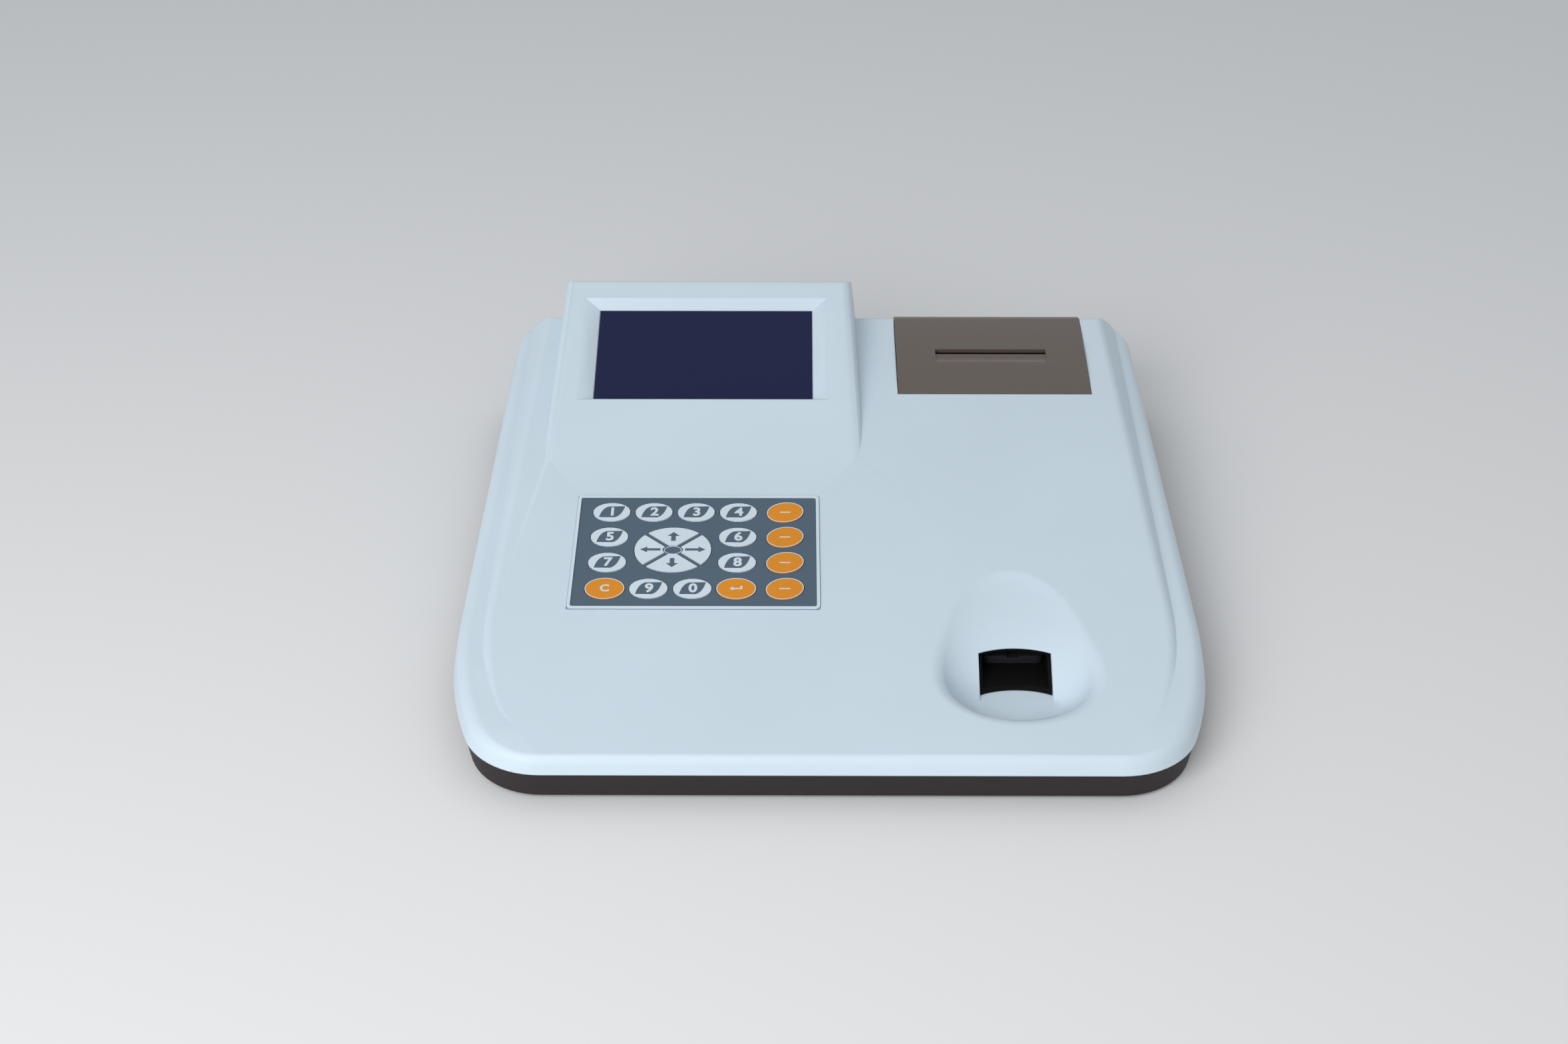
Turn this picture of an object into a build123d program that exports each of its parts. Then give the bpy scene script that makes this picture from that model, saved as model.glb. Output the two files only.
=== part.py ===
from build123d import *
import math
import os

# Urine analyzer: a desk-top strip reader with a sloped top, a raised display pod, a keypad,
# a strip printer under a smoked cover, and a finger dish where the strip tray comes out.
# Millimetres.  X runs to the user's right, Y from the front edge to the back, Z up from
# the desk.  Each piece is drawn from the front edge and moved at the end, so that the
# middle of the footprint on the desk is the origin.

os.makedirs("parts", exist_ok=True)

# ------------------------------------------------------------------ case sizes
WIDTH = 350.0             # across the parting line
DEPTH = 335.0             # front edge to back face at the parting line
WALL = 2.6                # moulded wall of the case
GAP = 0.3                 # clearance between pieces that pass or drop into each other
RUNNING = 0.05            # radial clearance of a turning fit
FOOT_HEIGHT = 2.0         # how far the feet stand out of the base
BASE_HEIGHT = 13.5        # dark base, underside to parting line
FRONT_LIP = 8.4           # pale front face above the parting line
MAIN_SLOPE = 6.9          # degrees, the top rises to the back
LEDGE_SLOPE = 4.6         # degrees, the shoulder beside the raised field rises less
SIDE_DRAFT = 12.0         # degrees, side and front walls
CORNER_R = 38.0           # front corner, which turns into the wide side arc
CORNER_TURN = 70.0        # degrees of the corner arc
SIDE_R = 200.0            # side arc that runs on from the corner
BACK_CORNER_R = 14.0
BACK_ROUND = 4.0          # rounding of the top along the back wall
TOP_ROUND = 7.0           # rounding along the top edges
INNER_CHAMFER = 0.7       # flat inside a rounded edge, in its inner radii
LEDGE_START = 20.0        # where the shoulder leaves the raised field
FIELD_INSET = 14.0        # foot of the raised field, in from the case side
FIELD_FRONT = 6.0         # front of the raised field, where it has sunk into the top
FIELD_DRAFT = 38.0        # degrees, flank of the raised field
FIELD_ROUND = 6.0
FIELD_SINK = 3.0          # how deep it is rooted under the ledge
FIELD_STEP = 0.3          # the field's back face stands this far inside the back wall
BASE_STEP = 0.8           # shadow step of the base under the pale case
BASE_DRAFT = 8.0
TONGUE_HEIGHT = 2.4       # rim of the base that locates inside the case
TONGUE_WALL = 1.4

# --------------------------------------------------------------- display sizes
POD_LEFT = -142.0
POD_RIGHT = 17.0
POD_START = DEPTH - 131.2      # where the pod rises out of the top
POD_SLOPE = 16.0
POD_DRAFT = 7.0
POD_ROUND = 6.0
DISPLAY_X = -63.6
DISPLAY_Y = DEPTH - 54.5
DISPLAY_WIDTH = 114.0     # visible window
DISPLAY_HEIGHT = 65.0
BEVEL_SIDE = 8.2          # bevel round the window
BEVEL_END = 5.0
BEVEL_DEPTH = 5.0
LENS_THICK = 1.5
LENS_MARGIN = 2.5         # lens behind the edge of the window
MODULE_THICK = 6.4
MODULE_MARGIN = 5.0
BOARD_THICK = 1.6
DISPLAY_HOLE = 1.6        # radius of the display board's corner holes

# ---------------------------------------------------------------- keypad sizes
KEYPAD_X = -63.3
KEYPAD_Y = 135.5
KEYPAD_WIDTH = 118.8
KEYPAD_HEIGHT = 81.6
PANEL_THICK = 0.8
PANEL_STAND = 0.2         # how far the panel stands out of its recess
PANEL_CORNER = 2.0
KEY_COLUMN = 20.7         # column pitch
KEY_ROW = 18.4            # row pitch
COMMAND_OFFSET = 22.9     # the last column stands further out
KEYS_SHIFT = (-0.9, 0.6)  # the key field against the panel's middle
KEY_WIDTH = 18.2
KEY_HEIGHT = 13.5
COMMAND_WIDTH = 18.8
COMMAND_HEIGHT = 14.6
COMMAND_TILT = 15.0       # degrees, the keys of the last column
RING_WIDTH = 36.9         # ring of the four arrow keys
RING_HEIGHT = 32.0
RING_SPLIT = 2.2          # gap between the arrow keys
HUB_WIDTH = 10.0
HUB_HEIGHT = 6.4
KEY_STAND = 0.4           # how far a key stands out of the panel
KEY_TRAVEL = 0.4
KEYPAD_LEDGE = 5.0        # ledge that the panel is glued to

# ------------------------------------------------------------- strip bay sizes
DISH_X = 85.5
DISH_FLOOR = 13.7         # height of the dish floor above the desk
DISH_ROUND = 9.0
PORT_WIDTH = 33.5         # port in the back wall of the dish
PORT_HEIGHT = 12.0
PORT_FRONT = 50.0         # the port is cut from here, inside the dish
PORT_BACK = 94.0          # end of the sleeve behind the port
LINER_WALL = 1.4
LINER_SETBACK = 1.2
GUIDE_BACK = 236.0
GUIDE_RAIL = 7.0
TRAY_TIP = 80.0
TRAY_LENGTH = 133.0
TRAY_THICK = 4.0
TRAY_HALF = 14.6          # half its width
RACK_DEPTH = 2.4          # rack's pitch line, out from the tray's side
TRAY_TRAVEL = 33.0
STRIP_WIDTH = 5.4         # channel for a test strip
STRIP_CHANNEL = 1.2
GEAR_MODULE = 1.0
PINION_TEETH = 16
PINION_Y = 170.0
BACKLASH = 0.35
ADDENDUM = 0.8            # in modules
DEDENDUM = 1.2
PRESSURE_ANGLE = 20.0
MOTOR_RADIUS = 12.0
MOTOR_SHAFT = 1.5
MOTOR_GAP = 2.2           # motor's face below the pinion
OPTICS_Y = 127.0
OPTICS_LENGTH = 26.0
OPTICS_Z = 23.5
OPTICS_HEIGHT = 11.5

# --------------------------------------------------------------- printer sizes
COVER_X = 89.0
COVER_WIDTH = 101.1
COVER_FRONT = DEPTH - 76.0
COVER_THICK = 2.2
COVER_CROWN = 1.2         # rise of the cover above the line of the top
COVER_ROLL = 9.0          # radius where it turns down over the back edge
COVER_KNUCKLE = 3.5
HINGE_DROP = 15.4395      # hinge axis under the line of the top at the back
HINGE_PIN = 1.5
HINGE_Z = FOOT_HEIGHT + BASE_HEIGHT + FRONT_LIP + DEPTH * math.tan(math.radians(MAIN_SLOPE)) - HINGE_DROP
CHEEK = 4.0               # block of the case that holds each end of the pin
COVER_RIB = 1.5
COVER_RIB_DEPTH = 2.5
LIP_RADIUS = 12.0         # hollow in front of the slot, where the strip tears off
LIP_DEPTH = 0.9
SLOT_Y = DEPTH - 40.5
SLOT_LENGTH = 3.6
PAPER_WIDTH = 57.0
SLOT_ROOM = 2.1           # slot wider than the paper by this much
SLOT_WIDTH = PAPER_WIDTH + SLOT_ROOM
ROLL_Y = DEPTH - 53.0
ROLL_Z = 27.0
ROLL_RADIUS = 16.5
CORE_RADIUS = 6.0
SPINDLE_RADIUS = 3.0
BAY_FLANGE = 12.0         # shelf under each side of the cover
BAY_WALL = 2.0
BAY_BACK = DEPTH - 9.0
PLATEN_Y = DEPTH - 26.0
PLATEN_Z = HINGE_Z - 3.0
PLATEN_RADIUS = 5.0
PLATEN_SHAFT = 2.0
FEED_TEETH = 22
FEED_PINION_TEETH = 10
FEED_MODULE = 0.8
FEED_WIDTH = 4.0
FEED_SHAFT = 1.2
FEED_MOTOR_RADIUS = 7.0
FEED_MOTOR_LENGTH = 26.0
FRAME_HALF = 31.0         # inner faces of the printer frame's side plates
FRAME_PLATE = 2.0
FRAME_FRONT = PLATEN_Y - 10.0
FRAME_BACK = PLATEN_Y + 11.0
FRAME_TOP = PLATEN_Z + 8.0
HEAD_THICK = 2.5
HEAD_HEIGHT = 15.0
LEVER_Y = PLATEN_Y - 6.0
LEVER_Z = PLATEN_Z + 1.0
LEVER_PIVOT = 2.0
LEVER_THICK = 3.0
LEVER_LENGTH = 8.0

# ------------------------------------------------------------------ fittings
SCREW_X = 148.0
SCREW_ROWS = (48.0, DEPTH - 39.0)
BOSS_RADIUS = 5.0
SCREW_RADIUS = 1.55
SCREW_HEAD = 3.4
PILOT_RADIUS = 1.6
PILOT_DEPTH = 9.0
SCREW_SEAT = 6.5          # height of the screw heads' seat above the desk
FOOT_X = 126.0
FOOT_ROWS = (30.0, DEPTH - 31.0)
FOOT_RADIUS = 8.0
FOOT_EDGE = 0.6
FOOT_POCKET = 1.2
REAR_RECESS = 3.0
REAR_X = -86.0
REAR_WIDTH = 126.0
REAR_HEIGHT = 30.0
REAR_Z = 34.0
REAR_FLANGE = 1.6
INLET = (-128.0, 27.4, 19.8)     # middle, width and height of the power inlet
SWITCH = (-96.0, 13.0, 19.2)
SERIAL = (-54.0, 30.8, 12.6)
INLET_LENGTH = 20.0
ROCKER_TILT = 8.0
ROCKER_PIN = 0.7

# ------------------------------------------------------------------- electronics
MAIN_BOARD = (-136.0, 40.0, 32.0, DEPTH - 121.0)     # left, right, front, back
BOARD_Z = 11.4            # underside of the main board above the desk
BOARD_POST = 3.5
POWER_BOARD = (-138.0, -28.0, DEPTH - 103.0, DEPTH - 35.0)
VENT_COUNT = 9
VENT_X = -83.0
VENT_Y = DEPTH - 69.0
VENT_PITCH = 9.0
VENT_WIDTH = 3.0
VENT_LENGTH = 44.0

# ------------------------------------------------------------------ roundness
POST_FLATS = 16           # flats of a round post or hole
ROLL_FLATS = 32           # flats of the paper roll, its core and the small motors
KEY_FLATS = 20            # flats round a key

# ------------------------------------------------------------- derived places
PARTING_Z = FOOT_HEIGHT + BASE_HEIGHT
FLOOR_Z = FOOT_HEIGHT + WALL
TOP_Z = PARTING_Z + FRONT_LIP
SIDE_TURN = 90 - CORNER_TURN
CEILING = TOP_Z + DEPTH * math.tan(math.radians(POD_SLOPE)) + WALL
HINGE_Y = DEPTH - COVER_KNUCKLE
TRAY_Z = DISH_FLOOR + LINER_WALL + 2 * GAP
RACK_X = DISH_X + TRAY_HALF + RACK_DEPTH
PINION_X = RACK_X + PINION_TEETH * GEAR_MODULE / 2
FEED_DROP = (FEED_TEETH + FEED_PINION_TEETH) * FEED_MODULE / 2
REAR_PARTS = (INLET, SWITCH, SERIAL)


def slope(angle):
    return math.tan(math.radians(angle))


def main_z(y):
    return TOP_Z + y * slope(MAIN_SLOPE)


def ledge_z(y):
    return main_z(LEDGE_START) + (y - LEDGE_START) * slope(LEDGE_SLOPE)


def pod_z(y):
    return main_z(POD_START) + (y - POD_START) * slope(POD_SLOPE)


def sloped_plane(x, y, z, angle):
    """A plane that lies on a surface which rises to the back."""
    tilt = math.radians(angle)
    return Plane((x, y, z), x_dir=(1, 0, 0), z_dir=(0, -math.sin(tilt), math.cos(tilt)))


KEYPAD = sloped_plane(KEYPAD_X, KEYPAD_Y, main_z(KEYPAD_Y), MAIN_SLOPE)
DISPLAY = sloped_plane(DISPLAY_X, DISPLAY_Y, pod_z(DISPLAY_Y), POD_SLOPE)


# ------------------------------------------------------------------- helpers
def block(x0, x1, y0, y1, z0, z1):
    """A box given by its limits."""
    middle = Pos((x0 + x1) / 2, (y0 + y1) / 2, (z0 + z1) / 2)
    return middle * Box(x1 - x0, y1 - y0, z1 - z0)


def post(x, y, radius, z0, z1):
    """An upright round post or hole that nothing turns in, with flats in place of its curve."""
    return Pos(x, y, z0) * extrude(ring_of_flats(radius, radius, POST_FLATS), z1 - z0)


def fluted(x0, x1, y, z, radius):
    """A round body along X that turns in nothing, with flats in place of its curve."""
    sketch = Plane.YZ.offset(x0) * Pos(y, z) * ring_of_flats(radius, radius, ROLL_FLATS)
    return extrude(sketch, x1 - x0)


def pillar(x, y, half, z0, z1):
    return block(x - half, x + half, y - half, y + half, z0, z1)


def ring_of_flats(half_x, half_y, count):
    """An ellipse drawn as a polygon with its corners on the curve."""
    turns = [2 * math.pi * (index + 0.5) / count for index in range(count)]
    return polygon([(half_x * math.cos(turn), half_y * math.sin(turn)) for turn in turns])


def axle(x0, x1, y, z, radius):
    """A round bar along X."""
    return Pos((x0 + x1) / 2, y, z) * Rot(0, 90, 0) * Cylinder(radius, x1 - x0)


def slab(plane, sketch, low, high):
    """A sketch drawn on a plane, as a plate between two heights off it."""
    return extrude(plane.offset(low) * sketch, high - low)


def across(x0, x1, sketch):
    """A side view, drawn as (y, z), carried from x0 to x1."""
    return extrude(Plane.YZ.offset(x0) * sketch, x1 - x0)


def polygon(points):
    return make_face(Polyline(points, close=True))


def under(height, drop=0.0):
    """Everything below a surface that rises to the back."""
    reach = 40.0
    near, far = -reach, DEPTH + reach
    half = WIDTH
    corners = [(near, -reach), (far, -reach), (far, height(far) - drop), (near, height(near) - drop)]
    return across(-half, half, polygon(corners))


def outline(z, inset=0.0):
    """The case's outline at the parting line, drawn in, with square back corners."""
    return rounded_outline(z, WIDTH / 2 - inset, inset, DEPTH - inset, inset)


def rounded_outline(z, half, front, back, inset):
    corner_r, side_r = CORNER_R - inset, SIDE_R - inset
    turn, rest = math.radians(CORNER_TURN), math.radians(SIDE_TURN)
    start = half - corner_r * math.sin(turn) - side_r * (1 - math.cos(rest))
    front_edge = Line((0, front), (start, front))
    corner = JernArc(front_edge @ 1, (1, 0), corner_r, CORNER_TURN)
    sweep = JernArc(corner @ 1, corner % 1, side_r, SIDE_TURN)
    side = Line(sweep @ 1, (half, back))
    right = Curve() + [front_edge, corner, sweep, side, Line((half, back), (0, back))]
    return Pos(0, 0, z) * make_face(right + mirror(right, about=Plane.YZ))


def walls(plane_sketch, height, draft, back):
    """A block with drafted front and sides, closed by one upright plane at the back."""
    solid = extrude(plane_sketch, height, taper=draft)
    return solid & block(-WIDTH, WIDTH, -DEPTH, back, 0, 2 * CEILING)


def round_top(solid, radius, skin, back):
    """Round the edge of a block's sloped top, except along its back; inside, chamfer it."""
    top = [face for face in solid.faces() if face.normal_at().Z > 0.9][0]
    edges = [edge for edge in top.edges() if edge.bounding_box().min.Y < back - 1]
    if skin:
        return chamfer(edges, (radius - skin) * INNER_CHAMFER)
    return fillet(edges, radius)


def round_corners(solid, z, half, back, draft, radius):
    """Round the two back corners of a block whose sides lean in by the draft."""
    square = Rectangle(radius, radius, align=(Align.MAX, Align.MAX)) - Pos(-radius, -radius) * Circle(radius)
    cutter = Rot(0, -draft, 0) * extrude(square, 2 * CEILING, both=True)
    cutter = Pos(half, back, z) * cutter
    return solid - cutter - mirror(cutter, about=Plane.YZ)


def round_back(solid, height, drop, angle, back, radius):
    """Round the edge where a sloped top meets the upright back."""
    lean = math.radians(angle)
    y = back - radius
    z = height(y) - drop - radius / math.cos(lean)
    top_y, top_z = y - radius * math.sin(lean), z + radius * math.cos(lean)
    corner = polygon([(y, z), (2 * DEPTH, z), (2 * DEPTH, CEILING), (top_y, CEILING), (top_y, top_z)])
    return solid - across(-WIDTH, WIDTH, corner - Pos(y, z) * Circle(radius))


# ------------------------------------------------------------- the case's form
def case_form(skin=0.0):
    """The pale case as a solid; skin draws every surface in by a wall's thickness."""
    foot = PARTING_Z - (WALL if skin else 0.0)
    back = DEPTH - skin
    low = rounded_outline(foot, WIDTH / 2 - skin, skin, back + TOP_ROUND, skin)
    body = walls(low, CEILING - foot, SIDE_DRAFT, back) & under(ledge_z, skin)
    body = round_top(body, TOP_ROUND, skin, back) & under(main_z, skin)
    body = round_corners(body, foot, WIDTH / 2 - skin, back, SIDE_DRAFT, BACK_CORNER_R - skin)
    return body + raised_field(skin) + pod(foot, skin)


def raised_field(skin):
    """The sloped field that carries keypad and printer; its flanks stand on the ledge."""
    level = sloped_plane(0, 0, ledge_z(0) - skin - FIELD_SINK, LEDGE_SLOPE)
    inset = FIELD_INSET + skin - FIELD_SINK * slope(FIELD_DRAFT)
    back = DEPTH - skin - FIELD_STEP
    sheet = rounded_outline(0, WIDTH / 2 - inset, FIELD_FRONT + skin, back + TOP_ROUND, 0)
    field = walls(level * sheet, CEILING, FIELD_DRAFT, back) & under(main_z, skin)
    field = round_top(field, FIELD_ROUND, skin, back)
    return round_back(field, main_z, skin, MAIN_SLOPE, back, BACK_ROUND - skin)


def pod(foot, skin):
    """The wedge that carries the display."""
    half = (POD_RIGHT - POD_LEFT) / 2 - skin
    rise = CEILING - foot
    lean = slope(POD_DRAFT)
    wide = half + (main_z(DEPTH) - foot) * lean
    trapeze = polygon([(-wide, foot), (wide, foot), (wide - rise * lean, CEILING),
                       (rise * lean - wide, CEILING)])
    back = DEPTH - skin - 2 * FIELD_STEP
    front = POD_START - 2 * POD_ROUND
    wedge = Pos((POD_LEFT + POD_RIGHT) / 2, back) * extrude(Plane.XZ * trapeze, back - front)
    wedge = round_top(wedge & under(pod_z, skin), POD_ROUND, skin, back)
    wedge = round_back(wedge, pod_z, skin, POD_SLOPE, back, POD_ROUND - skin)
    return wedge & block(-WIDTH, WIDTH, POD_START, 2 * DEPTH, foot, CEILING)


# ------------------------------------------------------------------ finger dish
# The dish is a bowl whose level sections are ellipses.  Each row gives the height above
# its floor, the front and back of the ellipse and half its width.
DISH_SECTIONS = (
    (0.0, 41.0, 58.5, 19.5),
    (4.0, 35.0, 64.5, 25.5),
    (12.0, 26.0, 78.0, 32.5),
    (18.0, 18.0, 95.0, 36.0),
    (26.0, 6.0, 124.0, 41.0),
)


def dish(skin=0.0):
    """The space of the dish; skin gives the outside of its moulded wall."""
    rings = []
    for height, front, back, half in DISH_SECTIONS:
        ring = Ellipse(half + skin, (back - front) / 2 + skin)
        rings.append(Pos(DISH_X, (front + back) / 2, DISH_FLOOR + height - skin) * ring)
    return loft(rings, ruled=skin > 0)


def port(grow, y0, y1):
    """The rectangular port behind the dish, between two depths."""
    half = PORT_WIDTH / 2 + grow
    return block(DISH_X - half, DISH_X + half, y0, y1,
                 DISH_FLOOR - grow, DISH_FLOOR + PORT_HEIGHT + grow)


# ------------------------------------------------------------- the upper case
def display_pocket(depth):
    """The bevelled well round the display, opened to the window's size at its floor."""
    window = Rectangle(DISPLAY_WIDTH, DISPLAY_HEIGHT)
    rim = Rectangle(DISPLAY_WIDTH + 2 * BEVEL_SIDE, DISPLAY_HEIGHT + 2 * BEVEL_END)
    bevel = loft([DISPLAY.offset(-BEVEL_DEPTH) * window, DISPLAY * rim], ruled=True)
    return bevel + slab(DISPLAY, rim, 0, depth) + slab(DISPLAY, window, -BEVEL_DEPTH - depth, -BEVEL_DEPTH)


def cover_outline(grow, z0, z1):
    half = COVER_WIDTH / 2 + grow
    return block(COVER_X - half, COVER_X + half, COVER_FRONT - grow, DEPTH + WALL, z0, z1)


def rear_panel(grow, y0, y1):
    half_x, half_z = REAR_WIDTH / 2 + grow, REAR_HEIGHT / 2 + grow
    return block(REAR_X - half_x, REAR_X + half_x, y0, y1, REAR_Z - half_z, REAR_Z + half_z)


def keypad_window(low, high, shrink=0.0):
    size = Rectangle(KEYPAD_WIDTH - 2 * shrink, KEYPAD_HEIGHT - 2 * shrink)
    return slab(KEYPAD, size, low, high)


def screw_places():
    return [(side * SCREW_X, y) for side in (-1, 1) for y in SCREW_ROWS]


def rear_cutouts(grow, y0, y1):
    """The three holes of the connector panel."""
    holes = Part()
    for x, wide, high in REAR_PARTS:
        holes += block(x - wide / 2 - grow, x + wide / 2 + grow, y0, y1,
                       REAR_Z - high / 2 - grow, REAR_Z + high / 2 + grow)
    return holes


def top_housing():
    inside = case_form(WALL)
    inside -= slab(DISPLAY, Rectangle(DISPLAY_WIDTH + 2 * BEVEL_SIDE + 2 * WALL,
                                      DISPLAY_HEIGHT + 2 * BEVEL_END + 2 * WALL), -BEVEL_DEPTH, WALL)
    inside -= rear_panel(WALL, DEPTH - REAR_RECESS - WALL, DEPTH)
    for x, y in screw_places():
        inside -= post(x, y, BOSS_RADIUS, PARTING_Z, CEILING)
    inside -= hinge_cheeks()
    lining = (dish(WALL) + port(WALL, PORT_FRONT, PORT_BACK)) & under(main_z, WALL / 2)
    shell = case_form() - inside + lining
    shell = fillet_rim(shell - dish())
    shell -= port(0, PORT_FRONT, PORT_BACK + WALL)
    shell -= display_pocket(POD_ROUND)
    shell -= cover_outline(GAP, HINGE_Z - COVER_KNUCKLE - GAP, CEILING)
    shell -= rear_panel(0, DEPTH - REAR_RECESS, DEPTH + WALL)
    shell -= rear_cutouts(GAP, DEPTH - REAR_RECESS - 2 * WALL, DEPTH)
    shell -= keypad_window(PANEL_STAND - PANEL_THICK, WALL)
    shell -= keypad_window(-2 * WALL, WALL, KEYPAD_LEDGE)
    for x, y in screw_places():
        shell -= post(x, y, PILOT_RADIUS, PARTING_Z - WALL, PARTING_Z + PILOT_DEPTH)
    half = COVER_WIDTH / 2 + GAP + CHEEK
    shell -= axle(COVER_X - half, COVER_X + half, HINGE_Y, HINGE_Z, HINGE_PIN + RUNNING)
    return shell


def hinge_cheeks():
    """Blocks inside the back wall that hold the ends of the cover's pin."""
    half = COVER_WIDTH / 2 + GAP
    cheeks = Part()
    for side in (-1, 1):
        x0, x1 = sorted((COVER_X + side * half, COVER_X + side * (half + CHEEK)))
        cheeks += block(x0, x1, HINGE_Y - 2 * COVER_KNUCKLE, DEPTH, HINGE_Z - COVER_KNUCKLE, CEILING)
    return cheeks


def fillet_rim(shell):
    """Round the edge where the dish meets the sloped top."""
    rim = []
    for edge in shell.edges():
        box = edge.bounding_box()
        middle = box.center()
        near = abs(middle.X - DISH_X) < 2 and box.size.X > 60 and abs(middle.Y - 68) < 25
        if near and abs((edge @ 0.5).Z - main_z((edge @ 0.5).Y)) < 0.1:
            rim.append(edge)
    return fillet(rim, DISH_ROUND)


# ---------------------------------------------------------------- the base
def base_block(z0, z1, inset, draft):
    """An upright block on the case's outline, wide at the top if the draft is negative."""
    wide, height = (z1, z0 - z1) if draft < 0 else (z0, z1 - z0)
    solid = extrude(outline(wide, inset), height, taper=abs(draft))
    return round_corners(solid, wide, WIDTH / 2 - inset, DEPTH - inset, draft, BACK_CORNER_R - inset)


def base_tray():
    rim = WALL + GAP + WALL * slope(SIDE_DRAFT)
    tray = base_block(FOOT_HEIGHT, PARTING_Z, BASE_STEP, -BASE_DRAFT)
    tray -= base_block(FLOOR_Z, PARTING_Z, BASE_STEP + WALL, -BASE_DRAFT)
    seat = base_block(PARTING_Z - TONGUE_WALL, PARTING_Z, BASE_STEP + TONGUE_WALL, 0)
    tongue = base_block(PARTING_Z, PARTING_Z + TONGUE_HEIGHT, rim, SIDE_DRAFT)
    hollow = base_block(FLOOR_Z, PARTING_Z + TONGUE_HEIGHT, rim + TONGUE_WALL, 0)
    tray += seat + tongue - hollow - rear_panel(WALL + GAP, DEPTH - REAR_RECESS - 2 * WALL, DEPTH)
    for x, y in screw_places():
        tray += post(x, y, BOSS_RADIUS, FOOT_HEIGHT, PARTING_Z)
    for x, y in board_posts():
        tray += pillar(x, y, BOARD_POST, FOOT_HEIGHT, BOARD_Z)
    for x, y in screw_places():
        tray -= post(x, y, SCREW_HEAD + GAP, FOOT_HEIGHT, SCREW_SEAT)
        tray -= post(x, y, SCREW_RADIUS + GAP, FOOT_HEIGHT, PARTING_Z + WALL)
    for x, y in foot_places():
        tray -= post(x, y, FOOT_RADIUS + GAP / 3, FOOT_HEIGHT, FOOT_HEIGHT + FOOT_POCKET)
    for index in range(VENT_COUNT):
        x = VENT_X + (index - (VENT_COUNT - 1) / 2) * VENT_PITCH
        tray -= block(x - VENT_WIDTH / 2, x + VENT_WIDTH / 2, VENT_Y - VENT_LENGTH / 2,
                      VENT_Y + VENT_LENGTH / 2, FOOT_HEIGHT, FLOOR_Z)
    return tray


def board_posts():
    left, right = MAIN_BOARD[0] + 6, MAIN_BOARD[1] - 6
    front, back = MAIN_BOARD[2] + 6, MAIN_BOARD[3] - 6
    return [(x, y) for x in (left, right) for y in (front, back)]


def foot_places():
    return [(side * FOOT_X, y) for side in (-1, 1) for y in FOOT_ROWS]


def rubber_feet():
    feet = Part()
    for x, y in foot_places():
        foot = post(x, y, FOOT_RADIUS, 0, FOOT_HEIGHT + FOOT_POCKET)
        feet += chamfer(foot.faces().sort_by(Axis.Z)[0].edges(), FOOT_EDGE)
    return feet


def case_screws():
    screws = Part()
    for x, y in screw_places():
        head = post(x, y, SCREW_HEAD, SCREW_SEAT - 2.4, SCREW_SEAT)
        cross = Pos(x, y, SCREW_SEAT - 2.4) * (Box(4, 1, 1.6) + Box(1, 4, 1.6))
        shank = post(x, y, SCREW_RADIUS, SCREW_SEAT, PARTING_Z + PILOT_DEPTH - 1)
        screws += head + shank - cross
    return screws


# -------------------------------------------------------------- display stack
def display_lens():
    size = Rectangle(DISPLAY_WIDTH + 2 * LENS_MARGIN, DISPLAY_HEIGHT + 2 * LENS_MARGIN)
    return slab(DISPLAY, size, -BEVEL_DEPTH - LENS_THICK, -BEVEL_DEPTH)


def display_module():
    size = Rectangle(DISPLAY_WIDTH + 2 * MODULE_MARGIN, DISPLAY_HEIGHT + 2 * MODULE_MARGIN)
    top = -BEVEL_DEPTH - LENS_THICK
    view = Rectangle(DISPLAY_WIDTH, DISPLAY_HEIGHT)
    return slab(DISPLAY, size, top - MODULE_THICK, top) - slab(DISPLAY, view, top - 0.8, top)


def display_board():
    top = -BEVEL_DEPTH - LENS_THICK - MODULE_THICK
    margin = MODULE_MARGIN + 4 * DISPLAY_HOLE
    size = Rectangle(DISPLAY_WIDTH + 2 * margin, DISPLAY_HEIGHT + 2 * margin)
    board = slab(DISPLAY, size, top - BOARD_THICK, top)
    inset = margin - 2 * DISPLAY_HOLE
    for place in GridLocations(DISPLAY_WIDTH + 2 * inset, DISPLAY_HEIGHT + 2 * inset, 2, 2):
        hole = place * ring_of_flats(DISPLAY_HOLE, DISPLAY_HOLE, POST_FLATS)
        board -= slab(DISPLAY, hole, top - BOARD_THICK, top)
    return board


# --------------------------------------------------------------------- keypad
def key_place(column, row):
    """Middle of a key on the panel; the last column is set further out."""
    u = KEYS_SHIFT[0] + (column - 2) * KEY_COLUMN
    if column == 4:
        u = KEYS_SHIFT[0] + KEY_COLUMN + COMMAND_OFFSET
    return u, KEYS_SHIFT[1] + (1.5 - row) * KEY_ROW


def oval(column, row, width, height, tilt=0.0, grow=0.0):
    u, v = key_place(column, row)
    return Pos(u, v) * Rot(0, 0, tilt) * ring_of_flats(width / 2 + grow, height / 2 + grow, KEY_FLATS)


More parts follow.
